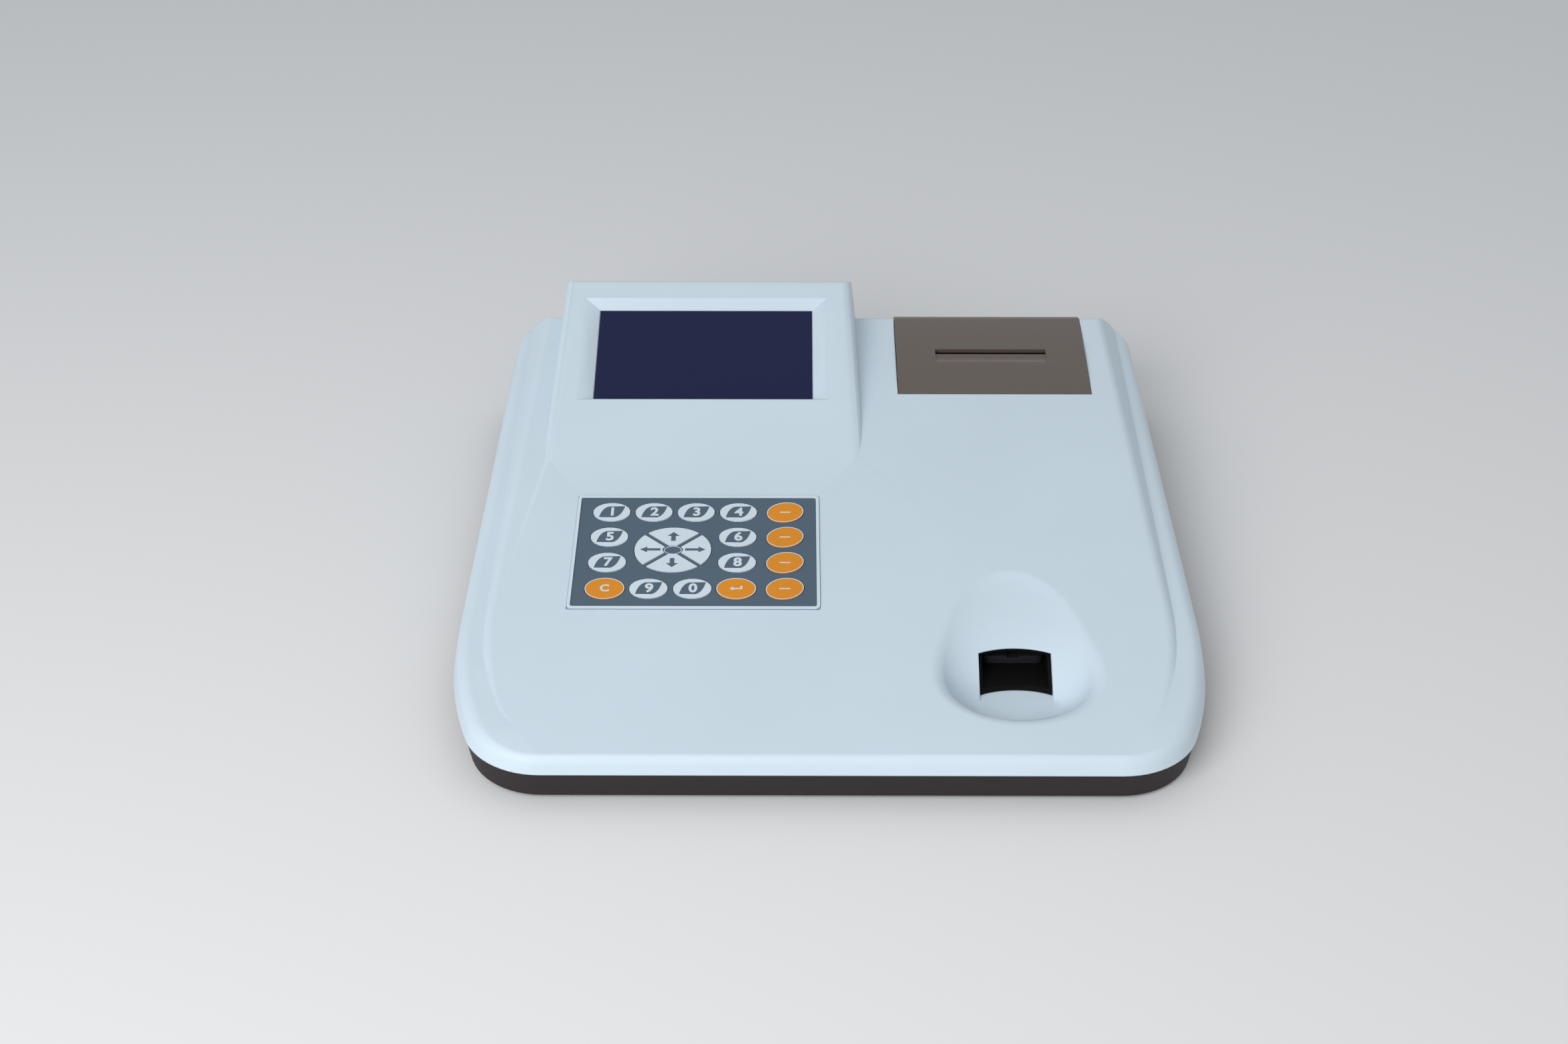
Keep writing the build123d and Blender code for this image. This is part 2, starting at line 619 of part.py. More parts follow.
def arrow_sector(angle, grow=0.0):
    """A quarter of the arrow ring, cut by the gaps of its X and by the hub."""
    u, v = KEYS_SHIFT[0] - KEY_COLUMN / 2, KEYS_SHIFT[1]
    ring = ring_of_flats(RING_WIDTH / 2 + grow, RING_HEIGHT / 2 + grow, 2 * KEY_FLATS)
    ring -= ring_of_flats(HUB_WIDTH / 2 - grow, HUB_HEIGHT / 2 - grow, KEY_FLATS)
    reach = RING_WIDTH
    offset = RING_SPLIT / 2 - grow
    lean = math.degrees(math.atan2(RING_HEIGHT, RING_WIDTH))
    half = lean if angle % 180 == 0 else 90 - lean
    tip = offset / math.sin(math.radians(half))
    wedge = make_face(Polyline([(tip, 0), (reach, (reach - tip) * slope(half)),
                                (reach, -(reach - tip) * slope(half))], close=True))
    return Pos(u, v) * (ring & (Rot(0, 0, angle) * wedge))


def key_sketches(grow=0.0):
    """Every key's outline on the panel by name."""
    sketches = {}
    digits = {1: (0, 0), 2: (1, 0), 3: (2, 0), 4: (3, 0), 5: (0, 1), 6: (3, 1), 7: (0, 2),
              8: (3, 2), 9: (1, 3), 0: (2, 3)}
    for digit, (column, row) in digits.items():
        sketches[f"key_{digit}"] = oval(column, row, KEY_WIDTH, KEY_HEIGHT, 0, grow)
    for name, column in (("key_clear", 0), ("key_enter", 3)):
        sketches[name] = oval(column, 3, COMMAND_WIDTH, COMMAND_HEIGHT, 0, grow)
    for row in range(4):
        sketches[f"key_command_{row + 1}"] = oval(4, row, KEY_WIDTH, COMMAND_HEIGHT, COMMAND_TILT, grow)
    for name, angle in (("key_right", 0), ("key_up", 90), ("key_left", 180), ("key_down", 270)):
        sketches[name] = arrow_sector(angle, grow)
    return sketches


def keypad_panel():
    plate = Rectangle(KEYPAD_WIDTH - 2 * GAP / 3, KEYPAD_HEIGHT - 2 * GAP / 3)
    plate = chamfer(plate.vertices(), PANEL_CORNER)
    for sketch in key_sketches(GAP).values():
        plate -= sketch
    return slab(KEYPAD, plate, PANEL_STAND - PANEL_THICK, PANEL_STAND)


def keypad_board():
    size = Rectangle(KEYPAD_WIDTH - 2, KEYPAD_HEIGHT - 2)
    return slab(KEYPAD, size, -WALL - BOARD_THICK, -WALL)


def key(sketch):
    """One key pad, standing on its dome just above the board."""
    low = -WALL + KEY_TRAVEL + GAP / 3
    return slab(KEYPAD, sketch, low, PANEL_STAND + KEY_STAND)


# ------------------------------------------------------------------ strip tray
def gear(teeth, module, thickness, bore, slack=0.0):
    """A spur gear flat in XY with straight-flanked teeth; a tooth points along +X."""
    pitch = teeth * module / 2
    tip, root = pitch + ADDENDUM * module, pitch - DEDENDUM * module
    half = (math.pi * module / 2 - slack) / 2
    narrow = (tip - pitch) * slope(PRESSURE_ANGLE) * 1.4
    wide = (pitch - root) * slope(PRESSURE_ANGLE) * 0.6
    tooth = [(root, -half - wide), (pitch, -half), (tip, narrow - half),
             (tip, half - narrow), (pitch, half), (root, half + wide)]
    rim = []
    for index in range(teeth):
        turn = 2 * math.pi * index / teeth
        rim += [(x * math.cos(turn) - y * math.sin(turn), x * math.sin(turn) + y * math.cos(turn))
                for x, y in tooth]
    return extrude(polygon(rim) - Circle(bore), thickness)


def rack(first, count):
    """Rack teeth along +X side of the tray, the first one's middle at a depth."""
    pitch = math.pi * GEAR_MODULE
    half = (pitch / 2 - BACKLASH) / 2
    base, tip = RACK_X - RACK_DEPTH, RACK_X + ADDENDUM * GEAR_MODULE
    out = (tip - RACK_X) * slope(PRESSURE_ANGLE)
    spread = RACK_DEPTH * slope(PRESSURE_ANGLE)
    tooth = polygon([(base, -half - spread), (RACK_X, -half), (tip, -half + out),
                     (tip, half - out), (RACK_X, half), (base, half + spread)])
    teeth = Sketch() + [Pos(0, first + index * pitch) * tooth for index in range(count)]
    return Pos(0, 0, TRAY_Z) * extrude(teeth, TRAY_THICK)


def strip_tray():
    length = TRAY_TIP + TRAY_LENGTH
    plate = block(DISH_X - TRAY_HALF, DISH_X + TRAY_HALF, TRAY_TIP, length, TRAY_Z, TRAY_Z + TRAY_THICK)
    plate = fillet(plate.edges().filter_by(Axis.Z).group_by(Axis.Y)[0], 4)
    half = STRIP_WIDTH / 2
    plate -= block(DISH_X - half, DISH_X + half, TRAY_TIP, length - 8,
                   TRAY_Z + TRAY_THICK - STRIP_CHANNEL, TRAY_Z + TRAY_THICK)
    well = block(DISH_X - 3 * half, DISH_X + 3 * half, TRAY_TIP + 8, length - 14,
                 TRAY_Z + TRAY_THICK - STRIP_CHANNEL / 2, TRAY_Z + TRAY_THICK)
    count = int((TRAY_TRAVEL + 4 * math.pi * GEAR_MODULE) / (math.pi * GEAR_MODULE))
    return plate - well + rack(PINION_Y - math.pi * GEAR_MODULE * 1.5, count)


def tray_pinion():
    wheel = gear(PINION_TEETH, GEAR_MODULE, TRAY_THICK, MOTOR_SHAFT + RUNNING, BACKLASH)
    return Pos(PINION_X, PINION_Y, TRAY_Z) * Rot(0, 0, 180) * wheel


def tray_motor():
    top = TRAY_Z - MOTOR_GAP
    can = post(PINION_X, PINION_Y, MOTOR_RADIUS, FLOOR_Z, top)
    reach = TRAY_Z + TRAY_THICK + 1 - top
    return can + Pos(PINION_X, PINION_Y, top + reach / 2) * Cylinder(MOTOR_SHAFT, reach)


def tray_guide():
    half = PORT_WIDTH / 2 - GAP
    low, high = DISH_FLOOR + GAP, DISH_FLOOR + PORT_HEIGHT - GAP
    tunnel = block(DISH_X - half, DISH_X + half, PORT_FRONT, PORT_BACK + WALL, low, high)
    tunnel -= block(DISH_X - half + LINER_WALL, DISH_X + half - LINER_WALL, 0, DEPTH,
                    low + LINER_WALL, high - LINER_WALL)
    tunnel -= dish(LINER_SETBACK)
    floor = block(DISH_X - half, DISH_X + half, PORT_BACK, GUIDE_BACK, low, low + LINER_WALL)
    rail = block(DISH_X - half, DISH_X - half + LINER_WALL, PORT_BACK, GUIDE_BACK, low, low + GUIDE_RAIL)
    stub = block(DISH_X + half - LINER_WALL, DISH_X + half, GUIDE_BACK - 12, GUIDE_BACK,
                 low, low + GUIDE_RAIL)
    stop = block(DISH_X - half, DISH_X + half, GUIDE_BACK - LINER_WALL, GUIDE_BACK, low, low + GUIDE_RAIL)
    legs = Part()
    for x in (DISH_X - half + 4, DISH_X + half - 4):
        for y in (PORT_BACK + 12, GUIDE_BACK - 12):
            legs += pillar(x, y, 3, FLOOR_Z, low)
    return tunnel + floor + rail + stub + stop + legs


def optical_head():
    """The reader that looks down on the strip, on two legs beside the guide."""
    half = PORT_WIDTH / 2 + 2
    y1 = OPTICS_Y + OPTICS_LENGTH
    head = block(DISH_X - half - 4, DISH_X + half + 4, OPTICS_Y, y1, OPTICS_Z, OPTICS_Z + OPTICS_HEIGHT)
    legs = block(DISH_X - half - 4, DISH_X - half, OPTICS_Y, OPTICS_Y + 10, FLOOR_Z, OPTICS_Z)
    legs += block(DISH_X + half, DISH_X + half + 4, OPTICS_Y, OPTICS_Y + 10, FLOOR_Z, OPTICS_Z)
    snout = Pos(DISH_X, OPTICS_Y + OPTICS_LENGTH / 2, OPTICS_Z - 1) * Box(16, 14, 2)
    return head + legs + snout - post(DISH_X, OPTICS_Y + OPTICS_LENGTH / 2, 3, OPTICS_Z - 3, OPTICS_Z + 4)


# --------------------------------------------------------------------- printer
def cover_skin():
    """Side view of the cover: a crowned top that rolls over the case's back edge."""
    span = (DEPTH - COVER_ROLL - COVER_FRONT) / math.cos(math.radians(MAIN_SLOPE))
    lean = math.radians(MAIN_SLOPE) - 2 * math.atan(2 * COVER_CROWN / span)
    back_y = DEPTH - COVER_ROLL * (1 + math.sin(lean))
    middle_y = (COVER_FRONT + back_y) / 2
    crown = ThreePointArc((COVER_FRONT, main_z(COVER_FRONT)), (middle_y, main_z(middle_y) + COVER_CROWN),
                          (back_y, main_z(back_y)))
    roll = JernArc(crown @ 1, crown % 1, COVER_ROLL, -90 - math.degrees(lean))
    skirt = Line(roll @ 1, ((roll @ 1).X, HINGE_Z))
    return make_face(offset(Wire([crown, roll, skirt]), amount=COVER_THICK, side=Side.RIGHT))


def printer_cover():
    half = COVER_WIDTH / 2
    skin = cover_skin()
    cover = across(COVER_X - half, COVER_X + half, skin)
    cover += axle(COVER_X - half, COVER_X + half, HINGE_Y, HINGE_Z, COVER_KNUCKLE)
    back = BAY_BACK - 3 * BAY_WALL
    front = COVER_FRONT + BAY_WALL + 2 * GAP
    under_skin = -COVER_THICK / 2
    rib = polygon([(front, main_z(front) + under_skin), (back, main_z(back) + under_skin),
                   (back, main_z(back) - COVER_THICK - COVER_RIB_DEPTH),
                   (front, main_z(front) - COVER_THICK - COVER_RIB_DEPTH)])
    inner = half - BAY_FLANGE - BAY_WALL
    for x in (COVER_X - inner, COVER_X + inner - COVER_RIB):
        cover += across(x, x + COVER_RIB, rib)
    cover -= block(COVER_X - SLOT_WIDTH / 2, COVER_X + SLOT_WIDTH / 2, SLOT_Y - SLOT_LENGTH / 2,
                   SLOT_Y + SLOT_LENGTH / 2, HINGE_Z, CEILING)
    lip_y = SLOT_Y - SLOT_LENGTH / 2 - math.sqrt(LIP_RADIUS**2 - (LIP_RADIUS - LIP_DEPTH)**2)
    lip_z = main_z(lip_y) + COVER_CROWN + LIP_RADIUS - LIP_DEPTH
    cover -= axle(COVER_X - SLOT_WIDTH / 2, COVER_X + SLOT_WIDTH / 2, lip_y, lip_z, LIP_RADIUS)
    return cover - axle(COVER_X - half, COVER_X + half, HINGE_Y, HINGE_Z, HINGE_PIN + RUNNING)


def cover_pin():
    half = COVER_WIDTH / 2 + GAP + CHEEK
    return axle(COVER_X - half, COVER_X + half, HINGE_Y, HINGE_Z, HINGE_PIN)


def bay_top(y):
    return main_z(y) - COVER_THICK - GAP


def printer_bay():
    """The tub under the cover; its sides carry the cover and the paper spindle."""
    half = COVER_WIDTH / 2
    inner = half - BAY_FLANGE
    front = COVER_FRONT + GAP
    shape = polygon([(front, FLOOR_Z), (BAY_BACK, FLOOR_Z), (BAY_BACK, bay_top(BAY_BACK)),
                     (front, bay_top(front))])
    tub = across(COVER_X - half, COVER_X + half, shape)
    tub -= block(COVER_X - inner, COVER_X + inner, front + BAY_WALL, BAY_BACK - BAY_WALL,
                 FLOOR_Z + BAY_WALL, CEILING)
    hollow = polygon([(front + BAY_WALL, FLOOR_Z), (BAY_BACK - BAY_WALL, FLOOR_Z),
                      (BAY_BACK - BAY_WALL, bay_top(BAY_BACK) - BAY_WALL),
                      (front + BAY_WALL, bay_top(front) - BAY_WALL)])
    width = BAY_FLANGE - 2 * BAY_WALL
    for x in (COVER_X - half + BAY_WALL, COVER_X + inner + BAY_WALL):
        tub -= across(x, x + width, hollow)
    reach = inner + BAY_WALL
    return tub - axle(COVER_X - reach, COVER_X + reach, ROLL_Y, ROLL_Z, SPINDLE_RADIUS)


def paper_spindle():
    reach = COVER_WIDTH / 2 - BAY_FLANGE + BAY_WALL
    return axle(COVER_X - reach, COVER_X + reach, ROLL_Y, ROLL_Z, SPINDLE_RADIUS)


def paper_tube(outer, inner):
    """A tube on the roll's axis, round an inner solid."""
    half = PAPER_WIDTH / 2
    tube = fluted(COVER_X - half, COVER_X + half, ROLL_Y, ROLL_Z, outer)
    return tube - inner


def printer_frame():
    """Two side plates on a foot plate; they carry platen, head, motor and lever."""
    bottom = FLOOR_Z + BAY_WALL
    outer = FRAME_HALF + FRAME_PLATE
    frame = block(COVER_X - outer, COVER_X + outer, FRAME_FRONT, FRAME_BACK, bottom, FRAME_TOP)
    frame -= block(COVER_X - FRAME_HALF, COVER_X + FRAME_HALF, 0, 2 * DEPTH, bottom + FRAME_PLATE, CEILING)
    frame -= axle(COVER_X - outer, COVER_X + outer, PLATEN_Y, PLATEN_Z, PLATEN_SHAFT + RUNNING)
    frame -= axle(COVER_X - outer, COVER_X, PLATEN_Y, PLATEN_Z - FEED_DROP, FEED_SHAFT + RUNNING)
    stud = outer + LEVER_THICK + 2 * GAP
    return frame + axle(COVER_X + FRAME_HALF, COVER_X + stud, LEVER_Y, LEVER_Z, LEVER_PIVOT)


def feed_gear(teeth, bore):
    """A gear of the paper feed, outside the left side plate, with its axis along X."""
    x = COVER_X - FRAME_HALF - FRAME_PLATE - GAP - FEED_WIDTH
    return Pos(x, 0, 0) * Rot(0, 90, 0) * gear(teeth, FEED_MODULE, FEED_WIDTH, bore, BACKLASH)


def platen_shaft():
    left = COVER_X - FRAME_HALF - FRAME_PLATE - GAP - FEED_WIDTH
    right = COVER_X + FRAME_HALF + FRAME_PLATE + GAP
    return axle(left, right, PLATEN_Y, PLATEN_Z, PLATEN_SHAFT)


def platen_roller():
    half = PAPER_WIDTH / 2 + 1
    sleeve = axle(COVER_X - half, COVER_X + half, PLATEN_Y, PLATEN_Z, PLATEN_RADIUS)
    return sleeve - axle(COVER_X - half, COVER_X + half, PLATEN_Y, PLATEN_Z, PLATEN_SHAFT)


def platen_gear():
    return Pos(0, PLATEN_Y, PLATEN_Z) * feed_gear(FEED_TEETH, PLATEN_SHAFT)


def feed_pinion():
    """The motor's pinion on its shaft; a gap between teeth faces the platen gear."""
    turn = Rot(180 / FEED_PINION_TEETH, 0, 0)
    wheel = turn * feed_gear(FEED_PINION_TEETH, FEED_SHAFT / 2)
    left = COVER_X - FRAME_HALF - FRAME_PLATE - GAP - FEED_WIDTH
    shaft = axle(left, COVER_X - FRAME_HALF + FEED_MOTOR_LENGTH / 2, 0, 0, FEED_SHAFT)
    return Pos(0, PLATEN_Y, PLATEN_Z - FEED_DROP) * (wheel + shaft)


def feed_motor():
    x0 = COVER_X - FRAME_HALF
    z = PLATEN_Z - FEED_DROP
    can = fluted(x0, x0 + FEED_MOTOR_LENGTH, PLATEN_Y, z, FEED_MOTOR_RADIUS)
    return can - axle(x0, x0 + FEED_MOTOR_LENGTH / 2 + GAP, PLATEN_Y, z, FEED_SHAFT + RUNNING)


def print_head():
    half = FRAME_HALF - GAP
    back = PLATEN_Y - PLATEN_RADIUS - GAP
    return block(COVER_X - half, COVER_X + half, back - HEAD_THICK, back,
                 PLATEN_Z - HEAD_HEIGHT / 2, PLATEN_Z + HEAD_HEIGHT / 2)


def release_lever():
    x0 = COVER_X + FRAME_HALF + FRAME_PLATE + GAP
    x1 = x0 + LEVER_THICK
    boss = 2 * LEVER_PIVOT
    arm = block(x0, x1, LEVER_Y - LEVER_PIVOT, LEVER_Y + LEVER_PIVOT, LEVER_Z, LEVER_Z + LEVER_LENGTH)
    lever = axle(x0, x1, LEVER_Y, LEVER_Z, boss) + arm
    return lever - axle(x0, x1, LEVER_Y, LEVER_Z, LEVER_PIVOT + RUNNING)


# ----------------------------------------------------------------- electronics
def main_board():
    x0, x1, y0, y1 = MAIN_BOARD
    return block(x0, x1, y0, y1, BOARD_Z, BOARD_Z + BOARD_THICK)


def board_parts():
    """The larger components of the main board."""
    top = BOARD_Z + BOARD_THICK
    x0, x1, y0, y1 = MAIN_BOARD
    x, y = (x0 + x1) / 2, (y0 + y1) / 2
    parts = block(x - 14, x + 14, y - 14, y + 14, top, top + 2.4)
    parts += block(x + 30, x + 44, y + 10, y + 28, top, top + 2.0)
    parts += block(x + 30, x + 44, y - 28, y - 10, top, top + 2.0)
    parts += block(x - 40, x + 10, y1 - 12, y1 - 4, top, top + 7.0)
    parts += block(x0 + 14, x0 + 22, y - 30, y + 20, top, top + 7.0)
    parts += block(x1 - 12, x1 - 4, y - 40, y - 10, top, top + 7.0)
    for index in range(3):
        parts += post(x0 + 40 + 14 * index, y1 - 30, 4.5, top, top + 9.0)
    return parts


def power_board():
    x0, x1, y0, y1 = POWER_BOARD
    board = block(x0, x1, y0, y1, BOARD_Z, BOARD_Z + BOARD_THICK)
    for x in (x0 + 6, x1 - 6):
        for y in (y0 + 6, y1 - 6):
            board += pillar(x, y, BOARD_POST, FLOOR_Z, BOARD_Z)
    return board


def transformer():
    top = BOARD_Z + BOARD_THICK
    x, y = POWER_BOARD[0] + 34, (POWER_BOARD[2] + POWER_BOARD[3]) / 2
    core = block(x - 20, x + 20, y - 16, y + 16, top, top + 24)
    return core + block(x - 14, x + 14, y - 20, y + 20, top + 3, top + 21)


def smoothing_capacitors():
    top = BOARD_Z + BOARD_THICK
    y = (POWER_BOARD[2] + POWER_BOARD[3]) / 2
    return Part() + [post(POWER_BOARD[1] - 16 - 22 * index, y, 8, top, top + 25) for index in range(2)]


def rear_plate(spec, flange=1.5):
    """A rear fitting's flange in the recess of the back wall, with its body behind."""
    x, wide, high = spec
    face = DEPTH - REAR_RECESS
    plate = block(x - wide / 2 - flange, x + wide / 2 + flange, face, face + REAR_FLANGE,
                  REAR_Z - high / 2 - flange, REAR_Z + high / 2 + flange)
    return plate + block(x - wide / 2, x + wide / 2, face - INLET_LENGTH, face,
                         REAR_Z - high / 2, REAR_Z + high / 2)


def power_inlet():
    x, wide, high = INLET
    face = DEPTH - REAR_RECESS
    well = block(x - wide / 2 + 2, x + wide / 2 - 2, face - INLET_LENGTH + 4, DEPTH,
                 REAR_Z - high / 2 + 2, REAR_Z + high / 2 - 2)
    body = rear_plate(INLET) - well
    for dx, dz in ((-7, -2), (0, 2), (7, -2)):
        body += block(x + dx - 1, x + dx + 1, face - INLET_LENGTH + 4, face - 2,
                      REAR_Z + dz - 2, REAR_Z + dz + 2)
    return body


def power_switch():
    x, wide, high = SWITCH
    well = block(x - wide / 2 + 1.2, x + wide / 2 - 1.2, DEPTH - REAR_RECESS - INLET_LENGTH / 2, DEPTH,
                 REAR_Z - high / 2 + 0.8, REAR_Z + high / 2 - 0.8)
    return rear_plate(SWITCH) - well - rocker_pin(ROCKER_PIN + RUNNING)


def rocker_pin(radius):
    """The bar that the rocker turns on, held in both walls of the switch."""
    x, wide, _ = SWITCH
    reach = wide / 2 - GAP
    return axle(x - reach, x + reach, DEPTH - REAR_RECESS - REAR_FLANGE, REAR_Z, radius)


def power_rocker():
    """The switch's rocker, pivoted across the well and tipped to one side."""
    x, wide, high = SWITCH
    half_x, half_z = wide / 2 - 1.2 - GAP, high / 2 - 0.8 - 2 * GAP
    shape = polygon([(2.0, half_z), (0.8, 0), (2.0, -half_z), (-4.0, -half_z / 2), (-4.0, half_z / 2)])
    pivot = DEPTH - REAR_RECESS - REAR_FLANGE
    rocker = across(x - half_x, x + half_x, Pos(pivot, REAR_Z) * Rot(0, 0, -ROCKER_TILT) * shape)
    return rocker + rocker_pin(ROCKER_PIN)


def serial_port():
    x, wide, high = SERIAL
    face = DEPTH - REAR_RECESS + REAR_FLANGE
    shell = Plane.XZ.offset(-face) * (Pos(x, REAR_Z) * Trapezoid(16.8, 8.4, 80, align=Align.CENTER))
    return rear_plate(SERIAL) + extrude(shell, -(REAR_RECESS - REAR_FLANGE))


# ---------------------------------------------------------------------- output
def save(name, shape):
    """Write one piece, moved so that the middle of the footprint is the origin."""
    placed = Pos(0, -DEPTH / 2, 0) * shape
    placed.label = name
    export_step(placed, os.path.join("parts", name + ".step"))


PIECES = {
    "top_housing": top_housing,
    "base_tray": base_tray,
    "rubber_feet": rubber_feet,
    "case_screws": case_screws,
    "display_lens": display_lens,
    "display_module": display_module,
    "display_board": display_board,
    "keypad_panel": keypad_panel,
    "keypad_board": keypad_board,
    "strip_tray": strip_tray,
    "tray_guide": tray_guide,
    "tray_motor": tray_motor,
    "tray_pinion": tray_pinion,
    "optical_head": optical_head,
    "printer_cover": printer_cover,
    "cover_pin": cover_pin,
    "printer_bay": printer_bay,
    "paper_spindle": paper_spindle,
    "printer_frame": printer_frame,
    "platen_shaft": platen_shaft,
    "platen_roller": platen_roller,
    "platen_gear": platen_gear,
    "feed_pinion": feed_pinion,
    "feed_motor": feed_motor,
    "print_head": print_head,
    "release_lever": release_lever,
    "main_board": main_board,
    "board_parts": board_parts,
    "power_board": power_board,
    "transformer": transformer,
    "smoothing_capacitors": smoothing_capacitors,
    "power_inlet": power_inlet,
    "power_switch": power_switch,
    "power_rocker": power_rocker,
    "serial_port": serial_port,
}

for piece_name, build in PIECES.items():
    save(piece_name, build())
spindle_hole = axle(0, WIDTH, ROLL_Y, ROLL_Z, SPINDLE_RADIUS + RUNNING)
save("paper_core", paper_tube(CORE_RADIUS, spindle_hole))
save("paper_roll", paper_tube(ROLL_RADIUS, fluted(0, WIDTH, ROLL_Y, ROLL_Z, CORE_RADIUS)))
for key_name, key_sketch in key_sketches().items():
    save(key_name, key(key_sketch))
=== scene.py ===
import math

import bmesh
import bpy
from mathutils import Matrix, Vector


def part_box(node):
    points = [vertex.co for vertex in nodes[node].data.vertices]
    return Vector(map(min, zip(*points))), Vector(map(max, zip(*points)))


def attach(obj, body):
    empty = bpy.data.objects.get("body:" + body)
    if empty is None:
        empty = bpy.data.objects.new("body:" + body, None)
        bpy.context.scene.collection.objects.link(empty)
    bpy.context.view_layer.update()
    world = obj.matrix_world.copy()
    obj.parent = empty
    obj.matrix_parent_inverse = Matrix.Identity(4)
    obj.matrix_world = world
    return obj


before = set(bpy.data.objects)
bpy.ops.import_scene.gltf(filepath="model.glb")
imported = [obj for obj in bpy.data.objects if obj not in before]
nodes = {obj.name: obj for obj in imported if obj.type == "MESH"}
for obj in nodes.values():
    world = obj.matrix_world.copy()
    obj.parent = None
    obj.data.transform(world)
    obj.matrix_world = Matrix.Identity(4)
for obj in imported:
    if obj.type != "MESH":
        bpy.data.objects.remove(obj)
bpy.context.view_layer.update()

MM = 0.001

# ---------------------------------------------------------------- upper case
# The pale upper half of the case: one injection moulding in ABS with a satin spark-eroded
# texture. It drops over the rim of the base and is held by four screws from below.
SMOOTH_ANGLE = 32.0      # facets that meet at less than this are one curved surface
CASE_COLOUR = "CDDDE8"


def linear(code):
    """An sRGB hex colour as a linear RGBA value."""
    parts = [int(code[at:at + 2], 16) / 255 for at in (0, 2, 4)]
    light = [part / 12.92 if part <= 0.04045 else ((part + 0.055) / 1.055) ** 2.4 for part in parts]
    return light + [1.0]


def add(tree, kind, inputs=None, **settings):
    """A node in a tree; each input takes a value, or the output of another node."""
    node = tree.nodes.new(kind)
    for key, value in settings.items():
        setattr(node, key, value)
    for key, value in (inputs or {}).items():
        if isinstance(value, bpy.types.NodeSocket):
            tree.links.new(value, node.inputs[key])
        else:
            node.inputs[key].default_value = value
    return node


def new_material(name):
    """An empty material: its tree, Object coordinates in metres, and a Principled node."""
    material = bpy.data.materials.new(name)
    material.use_nodes = True
    tree = material.node_tree
    tree.nodes.clear()
    place = add(tree, "ShaderNodeTexCoord").outputs["Object"]
    shader = add(tree, "ShaderNodeBsdfPrincipled")
    add(tree, "ShaderNodeOutputMaterial", {"Surface": shader.outputs[0]})
    return material, tree, place, shader


def noise(tree, place, size_mm, detail=3.0):
    """Fractal noise whose main spots are as wide as the given size."""
    return add(tree, "ShaderNodeTexNoise", {"Vector": place, "Scale": 1 / (size_mm * MM), "Detail": detail})


def between(tree, value, low, high):
    """Noise from 0.3 to 0.7 carried over to a range."""
    return add(tree, "ShaderNodeMapRange", {"Value": value, "From Min": 0.3, "From Max": 0.7,
                                            "To Min": low, "To Max": high}).outputs[0]


def moulded(name, colour, rough, grain_mm, depth_mm, edge_mm=0.3, fade=0.03, shine=0.4):
    """Moulded plastic or print: an even colour, and the fine texture of its surface."""
    material, tree, place, shader = new_material(name)
    wide = noise(tree, place, 60.0, 2.0)
    fine = noise(tree, place, grain_mm)
    tint = add(tree, "ShaderNodeHueSaturation",
               {"Color": linear(colour), "Value": between(tree, wide.outputs["Fac"], 1 - fade, 1 + fade)})
    edge = add(tree, "ShaderNodeBevel", {"Radius": edge_mm * MM}, samples=4)
    bump = add(tree, "ShaderNodeBump", {"Height": fine.outputs["Fac"], "Distance": depth_mm * MM,
                                        "Strength": 0.6, "Normal": edge.outputs[0]})
    tree.links.new(tint.outputs[0], shader.inputs["Base Color"])
    tree.links.new(between(tree, wide.outputs["Fac"], rough - 0.04, rough + 0.04), shader.inputs["Roughness"])
    tree.links.new(bump.outputs[0], shader.inputs["Normal"])
    shader.inputs["Specular IOR Level"].default_value = shine
    return material, tree, place, shader


def smoothing_tree():
    """Geometry nodes that weld a CAD mesh and shade it smooth between its sharp edges."""
    tree = bpy.data.node_groups.new("Smooth curved faces", "GeometryNodeTree")
    tree.interface.new_socket("Geometry", in_out="INPUT", socket_type="NodeSocketGeometry")
    angle = tree.interface.new_socket("Sharp angle", in_out="INPUT", socket_type="NodeSocketFloat")
    angle.default_value = math.radians(SMOOTH_ANGLE)
    tree.interface.new_socket("Geometry", in_out="OUTPUT", socket_type="NodeSocketGeometry")
    source = add(tree, "NodeGroupInput")
    bare = add(tree, "GeometryNodeRemoveAttribute", {"Geometry": source.outputs[0], "Name": "custom_normal"})
    weld = add(tree, "GeometryNodeMergeByDistance", {"Geometry": bare.outputs[0], "Distance": 2e-6})
    turn = add(tree, "GeometryNodeInputMeshEdgeAngle")
    soft = add(tree, "FunctionNodeCompare", {"A": turn.outputs[0], "B": source.outputs[1]},
               operation="LESS_THAN")
    faces = add(tree, "GeometryNodeSetShadeSmooth", {"Geometry": weld.outputs[0], "Shade Smooth": True})
    edges = add(tree, "GeometryNodeSetShadeSmooth",
                {"Geometry": faces.outputs[0], "Shade Smooth": soft.outputs[0]}, domain="EDGE")
    add(tree, "NodeGroupOutput", {0: edges.outputs[0]})
    return tree


smoothing = smoothing_tree()


def dress(material, *names):
    """Gives CAD nodes a material, and smooth shading where their surface is curved."""
    for name in names:
        part = nodes[name]
        part.data.materials.clear()
        part.data.materials.append(material)
        part.modifiers.new("Smooth curved faces", "NODES").node_group = smoothing
        part.modifiers.new("Flat faces stay flat", "WEIGHTED_NORMAL").keep_sharp = True


# ABS, moulded: pale blue, satin, with a 0.35 mm spark-eroded grain.
case_abs, *_ = moulded("abs_satin_moulded_pale_blue", CASE_COLOUR, 0.42, 0.35, 0.012,
                       edge_mm=0.7, fade=0.012)
dress(case_abs, "top_housing")

